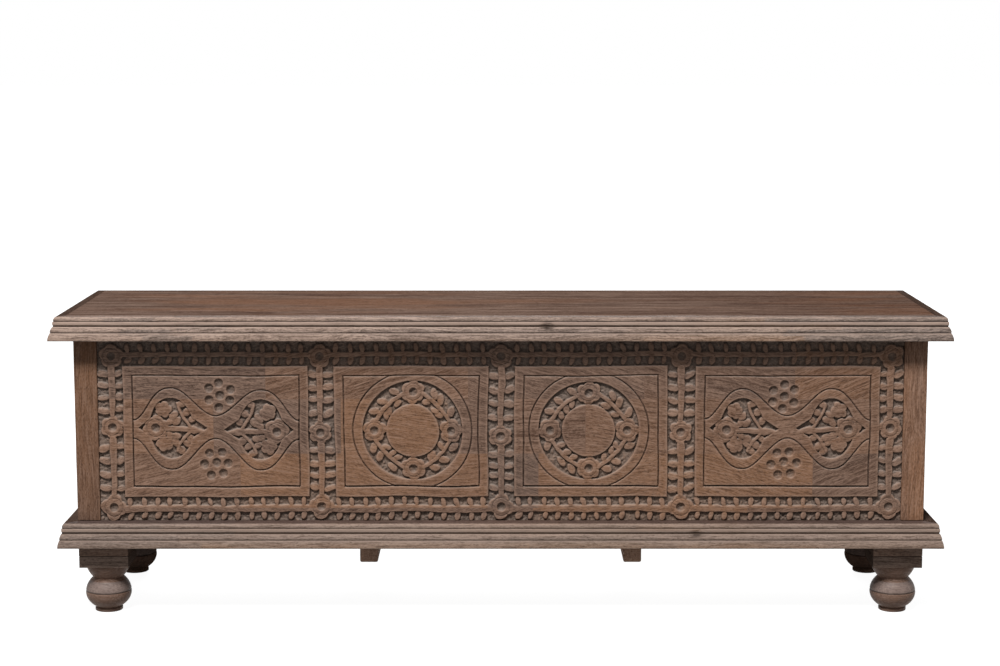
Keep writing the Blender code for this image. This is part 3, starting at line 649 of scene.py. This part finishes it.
def make_mouldings(finishes):
    for name, low, high, step, staves, knot in (
            ("lid", LID_LOW, LID_HIGH, 0.0125, LID_STAVES, 0.0705),
            ("base", BASE_LOW, BASE_HIGH, 0.0105, BASE_STAVES, 0.300)):
        profile = moulding_profile(high.y - low.y, high.z - low.z, step)
        side = high.x
        make_moulding(name + "_moulding_front", profile, 2 * side, (-side, low.y, low.z),
                      (0, 1, 0), (1, 0, 0), finishes[name + "_edge"], 31, True, staves, knot)
        for end, way, seed in (("left", 1, 32), ("right", -1, 33)):
            make_moulding(name + "_moulding_" + end, profile, BACK - low.y, (-way * side, low.y, low.z),
                          (way, 0, 0), (0, 1, 0), finishes[name + "_end"], seed)


# Blocks and turned feet


def make_block(node, radius, finish, seed):
    """A sawn block with rounded arrises: each point of a box moves to the sphere-swept box inside it."""
    pitch, wear, wear_size, merge = 0.012, 0.00025, 0.06, 1e-7
    low, high = (np.array(corner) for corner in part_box(node))
    arc = radius * np.tan(np.linspace(pi / 4, 0, 4))
    ticks = []
    for a, b in zip(low, high):
        flat = np.linspace(a + radius, b - radius, max(2, int((b - a) / pitch)))
        ticks.append(np.unique(np.concatenate([a + radius - arc, flat, b - radius + arc])))
    points, faces = [], []
    for axis in range(3):
        u, v = [k for k in range(3) if k != axis]
        for end, corner in enumerate((low, high)):
            grid = np.zeros((len(ticks[v]), len(ticks[u]), 3))
            grid[..., u], grid[..., v] = np.meshgrid(ticks[u], ticks[v])
            grid[..., axis] = corner[axis]
            quads = grid_faces(*grid.shape[:2]) + sum(map(len, points))
            outward = (axis != 1) == bool(end)
            faces.append(quads if outward else quads[:, ::-1])
            points.append(grid.reshape(-1, 3))
    points = np.concatenate(points)
    core = np.clip(points, low + radius, high - radius)
    off = points - core
    normal = off / np.linalg.norm(off, axis=1, keepdims=True)
    points = core + radius * normal
    points -= normal * (wear * (1 + uneven(points, wear_size, seed)))[:, None]
    cells = np.round(points / merge).astype(np.int64)
    _, first, index = np.unique(cells, axis=0, return_index=True, return_inverse=True)
    faces = [index.reshape(-1)[quads] for quads in faces]
    add_piece("planed_" + node, points[first], faces, finish, "chest", [node], sharp=radians(50))


def foot_profile(height):
    """Turned foot from its rim down: cupped collar, crease, bun of two half ellipses, scribed line, pad.

    Four columns: radius, height, 1 in the scribed line, which the hollow layer paints with shade, and the
    tone: grey above the line as a painted sheen, and warm elsewhere.
    """
    rim, rim_round, neck, neck_z, crease = 0.0340, 0.0012, 0.0220, 0.0525, 0.0006
    bun, bun_z, rise, fall = 0.0355, 0.0295, 0.0318, 0.0278
    pad, pad_height, pad_round = 0.0214, 0.0052, 0.0008
    line_rise, line_half, line_depth, grey_off = 0.0026, 0.0014, 0.0010, 0.0035
    lip = np.linspace(0, pi / 2, 5)
    cup = np.linspace(0, 1, 22)
    cup_top = height - 0.0015
    upper = np.linspace(np.arcsin(neck / bun), pi / 2, 40)
    lower = np.linspace(0, np.arcsin((bun_z - pad_height - pad_round) / fall), 26)[1:]
    runs = [
        np.stack([rim - rim_round * (1 - np.sin(lip)), height - rim_round * (1 - np.cos(lip))], axis=-1),
        np.stack([neck + (rim - neck) * (1 - cup**1.5) ** 0.85, cup_top + (neck_z - cup_top) * cup], axis=-1),
        [(neck - 0.0008, neck_z - crease)],
        np.stack([bun * np.sin(upper), bun_z + rise * np.cos(upper)], axis=-1),
        np.stack([bun * np.cos(lower), bun_z - fall * np.sin(lower)], axis=-1),
        [(pad, pad_height - crease), (pad, pad_round), (pad - pad_round, 0.0)],
    ]
    profile = np.concatenate([np.asarray(run, float) for run in runs])
    above = profile[:, 1] - bun_z - line_rise
    scribed = np.clip(1 - np.abs(above) / line_half, 0, 1)
    profile[:, 0] -= line_depth * scribed
    # Grey above the line is a painted sheen; the warm tone below it and on the collar is the wood's own
    tone = np.where((above > 0) & (profile[:, 1] < neck_z - grey_off), -0.9, 0.9)
    return np.column_stack([profile, scribed, tone])


def make_foot(node, finish, seed):
    """The profile turned round the foot's axis, closed by a disc at its top and at its pad."""
    turns, joint, wear, wear_size = 96, 0.0003, 0.004, 0.05
    low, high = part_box(node)
    x, y = (low.x + high.x) / 2, (low.y + high.y) / 2
    profile = foot_profile(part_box(node.replace("turned_foot", "foot_block_lower"))[0].z - joint)
    angle = np.linspace(0, 2 * pi, turns, endpoint=False)
    radius, level = profile[:, :1], profile[:, 1:2]
    rings = np.broadcast_arrays(x + radius * np.cos(angle), y + radius * np.sin(angle), level)
    points = np.stack(rings, axis=-1).reshape(-1, 3)
    out = points[:, :2] - (x, y)
    points[:, :2] -= out * (wear * (1 + uneven(points, wear_size, seed)))[:, None]
    count = len(points)
    points = np.concatenate([points, [(x, y, profile[0, 1]), (x, y, profile[-1, 1])]])
    ring = np.arange(turns)
    following = np.roll(ring, -1)
    last = count - turns
    faces = [grid_faces(len(profile), turns, wrap=True)[:, ::-1],
             np.stack([ring, following, np.full(turns, count)], axis=-1),
             np.stack([last + following, last + ring, np.full(turns, count + 1)], axis=-1)]
    columns = {"hollow": 2, "tone": 3}
    layers = {name: np.append(np.repeat(profile[:, k], turns), [0.0, 0.0]) for name, k in columns.items()}
    add_piece("lathed_" + node, points, faces, finish, "chest", [node], layers)


# Woods and metals


def configure(thing, settings):
    for key, value in settings.items():
        setattr(thing, key, value)


def feed(tree, node, inputs):
    """Fills a shader node's inputs: each is a value, or another node's output to link."""
    for key, value in inputs.items():
        if isinstance(value, bpy.types.NodeSocket):
            tree.links.new(value, node.inputs[key])
        else:
            node.inputs[key].default_value = value


def put(tree, kind, inputs=None, **settings):
    """A shader node with its settings and inputs."""
    node = tree.nodes.new("ShaderNode" + kind)
    configure(node, settings)
    feed(tree, node, inputs or {})
    return node


def new_material(name):
    """A material with its node tree and its shader."""
    material = bpy.data.materials.new(name)
    material.use_nodes = True
    tree = material.node_tree
    return material, tree, tree.nodes["Principled BSDF"]


def noise(tree, place, axis, along, across, detail, shift):
    """Noise drawn out along one axis: along and across are its repeats in a metre."""
    scale = [across] * 3
    scale[axis] = along
    inputs = {"Vector": place, "Location": (shift, 1.7 * shift, 2.3 * shift), "Scale": scale}
    spread = put(tree, "Mapping", inputs).outputs[0]
    inputs = {"Vector": spread, "Scale": 1.0, "Detail": detail, "Roughness": 0.55}
    return put(tree, "TexNoise", inputs).outputs[0]


def moved(tree, place, by):
    return put(tree, "VectorMath", {0: place, 1: by}, operation="ADD").outputs[0]


def arithmetic(tree, operation, a, b):
    return put(tree, "Math", {0: a, 1: b}, operation=operation).outputs[0]


def times(tree, a, b):
    return arithmetic(tree, "MULTIPLY", a, b)


def ranged(tree, value, low, high, to_low=0.0, to_high=1.0):
    inputs = {"Value": value, "From Min": low, "From Max": high, "To Min": to_low, "To Max": to_high}
    return put(tree, "MapRange", inputs).outputs[0]


def mixed(tree, share, a, b, blend="MIX"):
    node = put(tree, "Mix", {0: share, 6: a, 7: b}, data_type="RGBA", blend_type=blend)
    return node.outputs[2]


def colour(rgb):
    return (*rgb, 1.0)


def scaled(rgb, share):
    return [share * c for c in rgb]


def attribute(tree, name):
    return put(tree, "Attribute", attribute_name=name).outputs["Fac"]


def make_wood(name, axis, dark, mid, light, warm, shift, warm_share, saw, roughness=0.66, gloss=0.15,
              figure=1.0, flecks=1.0, streaks=26.0, lines=240.0, carved=False, ledge=None, end_grain=0.5,
              far_end=None, tones=None):
    """Dry open-pored wood: streaks, lines, fibres, flecks, pores and saw lines along one axis; warm patches.

    figure and flecks scale the contrast of the streaks and of the small marks. Carved wood reads its staves
    from its layers and has a greyed, dusty ground. ledge tints a moulding's top, and its layers weather it.
    tones are the greyed and the warm colour that the tone layer stands for. end_grain is how far faces square
    to the grain darken. far_end tints the chest's right end. Wood without gloss mirrors nothing. Where tones
    are set, the hollow layer paints shade into recesses, cut lines and creases, and paints a highlight, with
    rubbed wear, onto ridges; carved wood also gets a painted highlight on faces that look up.
    """
    material, tree, shader = new_material(name)
    spot = put(tree, "TexCoord").outputs
    place = spot["Object"]
    sideways = put(tree, "SeparateXYZ", {0: place}).outputs[0]
    drift = put(tree, "TexNoise", {"Vector": place, "Scale": 5.0, "Detail": 2.0}).outputs[1]
    bend = put(tree, "VectorMath", {0: drift, 1: (0.5, 0.5, 0.5)}, operation="SUBTRACT").outputs[0]
    bend = put(tree, "VectorMath", {0: bend, "Scale": 0.030}, operation="SCALE").outputs[0]
    if carved:
        number = {"W": attribute(tree, "stave")}
        stave = put(tree, "TexWhiteNoise", number, noise_dimensions="1D").outputs["Value"]
        slope = times(tree, ranged(tree, stave, 0.0, 1.0, -0.40, 0.40), sideways)
        place = moved(tree, place, put(tree, "CombineXYZ", {2: slope}).outputs[0])
        bend = moved(tree, bend, stave)
    place = moved(tree, place, bend)

    def pattern(along, across, detail, offset):
        return noise(tree, place, axis, along, across, detail, shift + offset)

    def stained(tone, value, low, high, share, rgb):
        """The tone mixed with a colour by up to share, as a value goes from low to high."""
        return mixed(tree, ranged(tree, value, low, high, 0.0, share), tone, colour(rgb))

    streak = pattern(1.1, streaks, 5.0, 0.0)
    line = pattern(6.0, lines, 4.0, 3.0)
    fibre = pattern(26.0, 600.0, 3.0, 7.0)
    fleck = pattern(210.0, 620.0, 2.0, 29.0)
    pore = pattern(150.0, 700.0, 1.0, 11.0)
    patch = pattern(2.2, 9.0, 3.0, 17.0)
    sawn = pattern(520.0, 22.0, 2.0, 23.0)
    normal = put(tree, "SeparateXYZ", {0: spot["Normal"]}).outputs
    facing = put(tree, "Math", {0: normal[axis]}, operation="ABSOLUTE").outputs[0]
    flank = ranged(tree, facing, 0.75, 0.95, 1.0, 0.0)

    swing = 0.14 / figure
    tone = mixed(tree, ranged(tree, streak, 0.5 - swing, 0.5 + swing), colour(dark), colour(mid))
    tone = stained(tone, line, 0.44, 0.66, 0.6 * figure, light)
    tone = stained(tone, patch, 0.48, 0.66, warm_share, warm)
    if tones:
        member = attribute(tree, "tone")
        if ledge:
            member = times(tree, member, ranged(tree, patch, 0.35, 0.60, 0.3, 1.0))
        tone = stained(tone, member, 0.0, -1.0, 0.8, tones[0])
        tone = stained(tone, member, 0.0, 1.0, 0.8, tones[1])
    if ledge:
        weather = attribute(tree, "weather")
        tone = stained(tone, weather, 0.0, -1.0, 0.85, WEATHERED)
        tone = stained(tone, weather, 0.0, 1.0, 0.8, light)
    if far_end:
        tone = mixed(tree, ranged(tree, sideways, 0.20, 0.48), tone, colour(far_end), "MULTIPLY")
    for mark, low, high, share, rgb in (
            (fleck, 0.50, 0.68, 0.4, light), (fleck, 0.50, 0.34, 0.4, scaled(dark, 0.6)),
            (fibre, 0.50, 0.32, 0.6, scaled(dark, 0.55)), (fibre, 0.50, 0.68, 0.5, light),
            (pore, 0.64, 0.70, 0.5, scaled(dark, 0.35))):
        tone = stained(tone, mark, low, high, share * flecks, rgb)
    if carved:
        grit = pattern(480.0, 640.0, 2.0, 31.0)
        ground = stained(colour(GROUND), grit, 0.52, 0.70, 0.5, DUST_AND_HIGHLIGHT)
        tone = mixed(tree, ranged(tree, attribute(tree, "sunk"), 0.15, 0.95, 0.0, 0.65), tone, ground)
    if tones:
        hollow = attribute(tree, "hollow")
        if ledge:
            hollow = times(tree, hollow, flank)
        # Painted shade by how hollow the place is; the mouldings' knots, dark spots of their own, come
        # through too
        painted_shade_and_knots = ranged(tree, hollow, 0.08, 0.65, 0.0, 0.8)
        if carved:
            painted_shade_and_knots = times(tree, painted_shade_and_knots, ranged(tree, attribute(tree, "broad"), 0.25, 0.55, 1.0, 0.45))
        tone = mixed(tree, painted_shade_and_knots, tone, colour(scaled(dark, 0.20)))
        # Lighter on ridges and arrises, where hollow is negative: partly rubbed wear, partly painted
        # highlight
        worn = 0.75 if carved else 1.0
        rub_and_highlight = ranged(tree, line, 0.25, 0.65, 0.45 * worn, 0.95 * worn)
        rub_and_highlight = times(tree, ranged(tree, hollow, -0.05, -0.45), rub_and_highlight)
        tone = mixed(tree, rub_and_highlight, tone, colour(light))
    if carved:
        # Painted highlight: faces that look up are lighter, as if lit from above
        tone = stained(tone, normal[2], 0.30, 0.85, 0.25, DUST_AND_HIGHLIGHT)
    if ledge:
        tone = mixed(tree, times(tree, attribute(tree, "ledge"), flank), tone, colour(ledge), "MULTIPLY")
    height = arithmetic(tree, "ADD", times(tree, fibre, 0.5), times(tree, sawn, saw))
    height = arithmetic(tree, "SUBTRACT", height, ranged(tree, pore, 0.64, 0.70, 0.0, 0.8))
    bump = put(tree, "Bump", {"Strength": 0.55, "Distance": 0.0006, "Height": height}).outputs[0]
    feed(tree, shader, {
        "Base Color": stained(tone, facing, 0.75, 0.95, end_grain, scaled(dark, 0.4)),
        "Roughness": ranged(tree, line, 0.3, 0.7, roughness + 0.10, roughness - 0.08),
        "Specular IOR Level": gloss,
        "IOR": 1.25 if gloss else 1.0,
        "Normal": bump,
    })
    return material


def make_metal(name, base, stain, roughness):
    """Dull steel: brushed along X, with cloudy tarnish."""
    material, tree, shader = new_material(name)
    place = put(tree, "TexCoord").outputs["Object"]
    brushed = noise(tree, place, 0, 60.0, 2600.0, 3.0, 1.0)
    cloud = noise(tree, place, 0, 160.0, 160.0, 4.0, 5.0)
    bump = put(tree, "Bump", {"Strength": 0.3, "Distance": 0.0002, "Height": brushed}).outputs[0]
    feed(tree, shader, {
        "Base Color": mixed(tree, ranged(tree, cloud, 0.42, 0.66), colour(base), colour(stain)),
        "Metallic": 1.0,
        "Roughness": ranged(tree, brushed, 0.3, 0.7, roughness - 0.08, roughness + 0.12),
        "Normal": bump,
    })
    return material


# Colours of stains, dust and wear, and of a painted highlight and a painted sheen
GREYED = (0.128, 0.088, 0.070)
ORANGE = (0.262, 0.134, 0.072)
GROUND = (0.160, 0.130, 0.110)
# Pale dust speckled on the carved ground, and the painted highlight on faces that look up
DUST_AND_HIGHLIGHT = (0.380, 0.320, 0.280)
EDGE_GREY = (0.245, 0.196, 0.172)
EDGE_ORANGE = (0.320, 0.190, 0.115)
WEATHERED = (0.158, 0.128, 0.113)
# The feet's painted sheen above the scribed line
FOOT_PAINTED_SHEEN = (0.215, 0.165, 0.148)
FOOT_RED = (0.172, 0.096, 0.064)

# Colours of the woods: dark, middle, light and warm
CHEST = ((0.088, 0.049, 0.034), (0.182, 0.105, 0.071), (0.290, 0.186, 0.136), (0.215, 0.105, 0.055))
LID = ((0.085, 0.047, 0.035), (0.160, 0.098, 0.073), (0.250, 0.168, 0.130), (0.225, 0.108, 0.062))
EDGE = ((0.130, 0.083, 0.062), (0.250, 0.174, 0.136), (0.360, 0.265, 0.214), (0.330, 0.205, 0.130))
LID_EDGE = ((0.092, 0.058, 0.043), (0.202, 0.138, 0.108), (0.382, 0.280, 0.226), (0.298, 0.184, 0.116))
# End mouldings: darker than EDGE, partly their own tone and partly painted shade
EDGE_END_TONE_AND_SHADE = ((0.095, 0.062, 0.047), (0.172, 0.118, 0.092), (0.245, 0.178, 0.142), (0.195, 0.116, 0.078))
INSIDE = ((0.150, 0.092, 0.058), (0.250, 0.160, 0.104), (0.330, 0.225, 0.150), (0.270, 0.150, 0.085))
BEARER = ((0.29, 0.168, 0.118), (0.46, 0.275, 0.195), (0.56, 0.375, 0.275), (0.52, 0.290, 0.175))
BLOCK = ((0.115, 0.080, 0.063), (0.205, 0.146, 0.116), (0.290, 0.210, 0.170), (0.245, 0.142, 0.095))
FOOT = ((0.110, 0.070, 0.054), (0.225, 0.150, 0.116), (0.320, 0.235, 0.195), (0.255, 0.138, 0.088))


def make_finishes():
    """Every wood and metal by the name of the pieces that it goes on.

    A wood's row: its name, the axis of its grain, its colours and their tint, a shift that sets its pattern
    apart, its share of warm patches, its saw lines, and the rest.
    """
    edges = dict(tones=(EDGE_GREY, EDGE_ORANGE))
    # The ends' darker colours and darker tops: partly their own tone, partly painted shade
    ends = dict(edges, figure=0.8, gloss=0.0, ledge=(0.34, 0.31, 0.30), end_grain=0.25)
    carving = dict(carved=True, figure=1.2, flecks=1.15, tones=(GREYED, ORANGE))
    feet = dict(figure=0.8, flecks=0.6, tones=(FOOT_PAINTED_SHEEN, FOOT_RED))
    blocks = dict(gloss=0.0, end_grain=0.6)
    boards = dict(roughness=0.8, gloss=0.0, figure=1.6, streaks=40.0, lines=80.0, far_end=(0.78, 0.74, 0.72))
    woods = (
        ("carved", 0, CHEST, 1.03, 1.0, 0.35, 0.5, carving),
        ("lid_edge", 0, LID_EDGE, 1.0, 2.0, 0.6, 0.2,
         dict(edges, figure=1.3, flecks=1.1, ledge=(0.42, 0.36, 0.33))),
        ("base_edge", 0, EDGE, 0.86, 6.0, 0.6, 0.2, dict(edges, figure=1.1, ledge=(0.40, 0.36, 0.37))),
        ("lid_end", 1, EDGE_END_TONE_AND_SHADE, 1.0, 33.0, 0.4, 0.2, ends),
        ("base_end", 1, EDGE_END_TONE_AND_SHADE, 1.0, 36.0, 0.4, 0.2, ends),
        ("post_left", 2, CHEST, 0.89, 9.0, 0.7, 0.8, dict(figure=0.5, flecks=0.8)),
        ("post_right", 2, CHEST, 1.28, 10.0, 0.8, 0.8, dict(figure=0.7, flecks=0.8)),
        ("side", 2, CHEST, 1.0, 12.0, 0.5, 0.7, {}),
        ("back", 0, CHEST, 1.0, 15.0, 0.5, 0.7, {}),
        ("inner", 0, INSIDE, 1.0, 18.0, 0.5, 0.9, dict(roughness=0.72)),
        ("bearer", 1, BEARER, 1.0, 21.0, 0.4, 0.9, dict(roughness=0.7, end_grain=0.0)),
        ("foot_front", 0, FOOT, 1.0, 24.0, 0.7, 0.2, dict(feet, roughness=0.48, gloss=0.4, end_grain=0.1)),
        # The rear feet: a darker, unglossed copy of the front feet, as painted shade
        ("foot_rear", 0, FOOT, 0.9, 25.0, 0.6, 0.2, dict(feet, roughness=0.5, gloss=0.0)),
        ("block_upper", 0, BLOCK, 1.2, 27.0, 0.6, 0.8, blocks),
        ("block_lower", 0, BLOCK, 1.1, 30.0, 0.2, 0.8, blocks),
        ("lid_front", 0, LID, 0.70, 40.0, 0.8, 0.35, boards),
        ("lid_middle", 0, LID, 0.65, 45.0, 0.8, 0.35, boards),
        ("lid_rear", 0, LID, 0.69, 50.0, 0.8, 0.35, boards),
    )
    made = {
        "hinge": make_metal("hinge_steel", (0.33, 0.30, 0.26), (0.16, 0.12, 0.09), 0.45),
        "screw": make_metal("screw_steel", (0.50, 0.48, 0.45), (0.30, 0.26, 0.22), 0.38),
    }
    for name, axis, colours, tint, shift, warm_share, saw, rest in woods:
        colours = [scaled(rgb, tint) for rgb in colours]
        made[name] = make_wood(name + "_wood", axis, *colours, shift, warm_share, saw, **rest)
    return made


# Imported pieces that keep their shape


def modify(piece, name, kind, **settings):
    configure(piece.modifiers.new(name, kind), settings)


def soften(node, finish, width):
    """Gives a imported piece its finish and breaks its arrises, after its flat faces are made whole."""
    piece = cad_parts[node]
    piece.data.materials.clear()
    piece.data.materials.append(finish)
    if width:
        modify(piece, "weld", "WELD", merge_threshold=0.00001)
        modify(piece, "whole_faces", "DECIMATE", decimate_type="DISSOLVE", angle_limit=radians(1))
        modify(piece, "arris", "BEVEL", width=width, segments=2, limit_method="ANGLE",
               angle_limit=radians(40))


def dress_packed_pieces(finishes):
    for board in ("front", "middle", "rear"):
        soften("lid_board_" + board, finishes["lid_" + board], 0.0005)
        soften("bottom_board_" + board, finishes["inner"], 0.0008)
    for end in ("left", "right"):
        soften("side_panel_" + end, finishes["side"], 0.0008)
        soften("lid_batten_" + end, finishes["inner"], 0.0020)
        soften("bearer_" + end, finishes["bearer"], 0.0025)
    soften("back_panel", finishes["back"], 0.0005)
    soften("base_rail_rear", finishes["back"], 0.0010)
    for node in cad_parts:
        if node.startswith("hinge"):
            finish = "screw" if "screw" in node or "pin" in node else "hinge"
            soften(node, finishes[finish], 0.0)


# Stage


def seen_directly(tree):
    """1 for what is seen, also in a mirror or through glass, and 0 for light on its way to a surface."""
    path = put(tree, "LightPath").outputs
    mirrored = arithmetic(tree, "MAXIMUM", path["Is Glossy Ray"], path["Is Transmission Ray"])
    return arithmetic(tree, "MAXIMUM", path["Is Camera Ray"], mirrored)


def make_stage():
    """A wide pale floor, which looks white where no shadow falls on it."""
    reach, grey, glow = 40.0, 0.22, 0.95
    ticks = np.linspace(-reach, reach, 5)
    across, back = np.meshgrid(ticks, ticks)
    points = np.stack([across, back, np.zeros_like(across)], axis=-1).reshape(-1, 3)
    mesh = bpy.data.meshes.new("floor")
    mesh.from_pydata(points.tolist(), [], grid_faces(len(ticks), len(ticks)).tolist())
    material, tree, shader = new_material("floor")
    feed(tree, shader, {
        "Base Color": (grey, grey, grey, 1.0),
        "Roughness": 1.0,
        "Specular IOR Level": 0.0,
        "Emission Color": (1.0, 1.0, 1.0, 1.0),
        "Emission Strength": times(tree, seen_directly(tree), glow),
    })
    mesh.materials.append(material)
    floor = add_object("floor", mesh)


def make_light(name, place, target, size, watts):
    lamp = bpy.data.lights.new(name, "AREA")
    lamp.shape = "RECTANGLE"
    lamp.size, lamp.size_y = size
    lamp.energy = watts
    light = add_object(name, lamp)
    light.location = place
    away = light.location - type(light.location)(target)
    light.rotation_euler = away.to_track_quat("Z", "Y").to_euler()


def make_world():
    """White where it is seen, and a weak even light on everything else."""
    fill = 0.28
    world = bpy.data.worlds.new("studio")
    bpy.context.scene.world = world
    world.use_nodes = True
    tree = world.node_tree
    strength = ranged(tree, seen_directly(tree), 0.0, 1.0, fill, 1.0)
    feed(tree, tree.nodes["Background"], {"Color": (1.0, 1.0, 1.0, 1.0), "Strength": strength})


def make_camera():
    lens = bpy.data.cameras.new("photograph_view")
    lens.sensor_width = SENSOR_MM
    lens.lens = FOCAL_PX * SENSOR_MM / PHOTO_WIDTH_PX
    camera = add_object("photograph_view", lens)
    camera.location = (CAMERA_SIDE, LID_LOW.y - CAMERA_DISTANCE, LID_HIGH.z + CAMERA_RISE)
    camera.rotation_euler = (pi / 2 - CAMERA_PITCH, 0.0, 0.0)
    bpy.context.scene.camera = camera


make_camera()
make_world()
make_stage()
make_light("key_softbox", (-1.1, -3.5, 5.1), (0.0, 0.0, 0.3), (1.8, 1.2), 470.0)
make_light("back_softbox", (0.0, 4.4, 2.6), (0.0, 0.1, 0.3), (2.4, 1.2), 170.0)
bpy.context.scene.view_settings.view_transform = "Standard"

finishes = make_finishes()
make_carved_front(finishes["carved"])
make_mouldings(finishes)
for corner in ("front_left", "front_right", "rear_left", "rear_right"):
    end, side = corner.split("_")
    make_block("post_" + corner, POST_ARRIS, finishes["post_" + side], 51)
    make_block("foot_block_upper_" + corner, BLOCK_ARRIS, finishes["block_upper"], 52)
    make_block("foot_block_lower_" + corner, BLOCK_ARRIS, finishes["block_lower"], 53)
    make_foot("turned_foot_" + corner, finishes["foot_" + end], 54)
dress_packed_pieces(finishes)
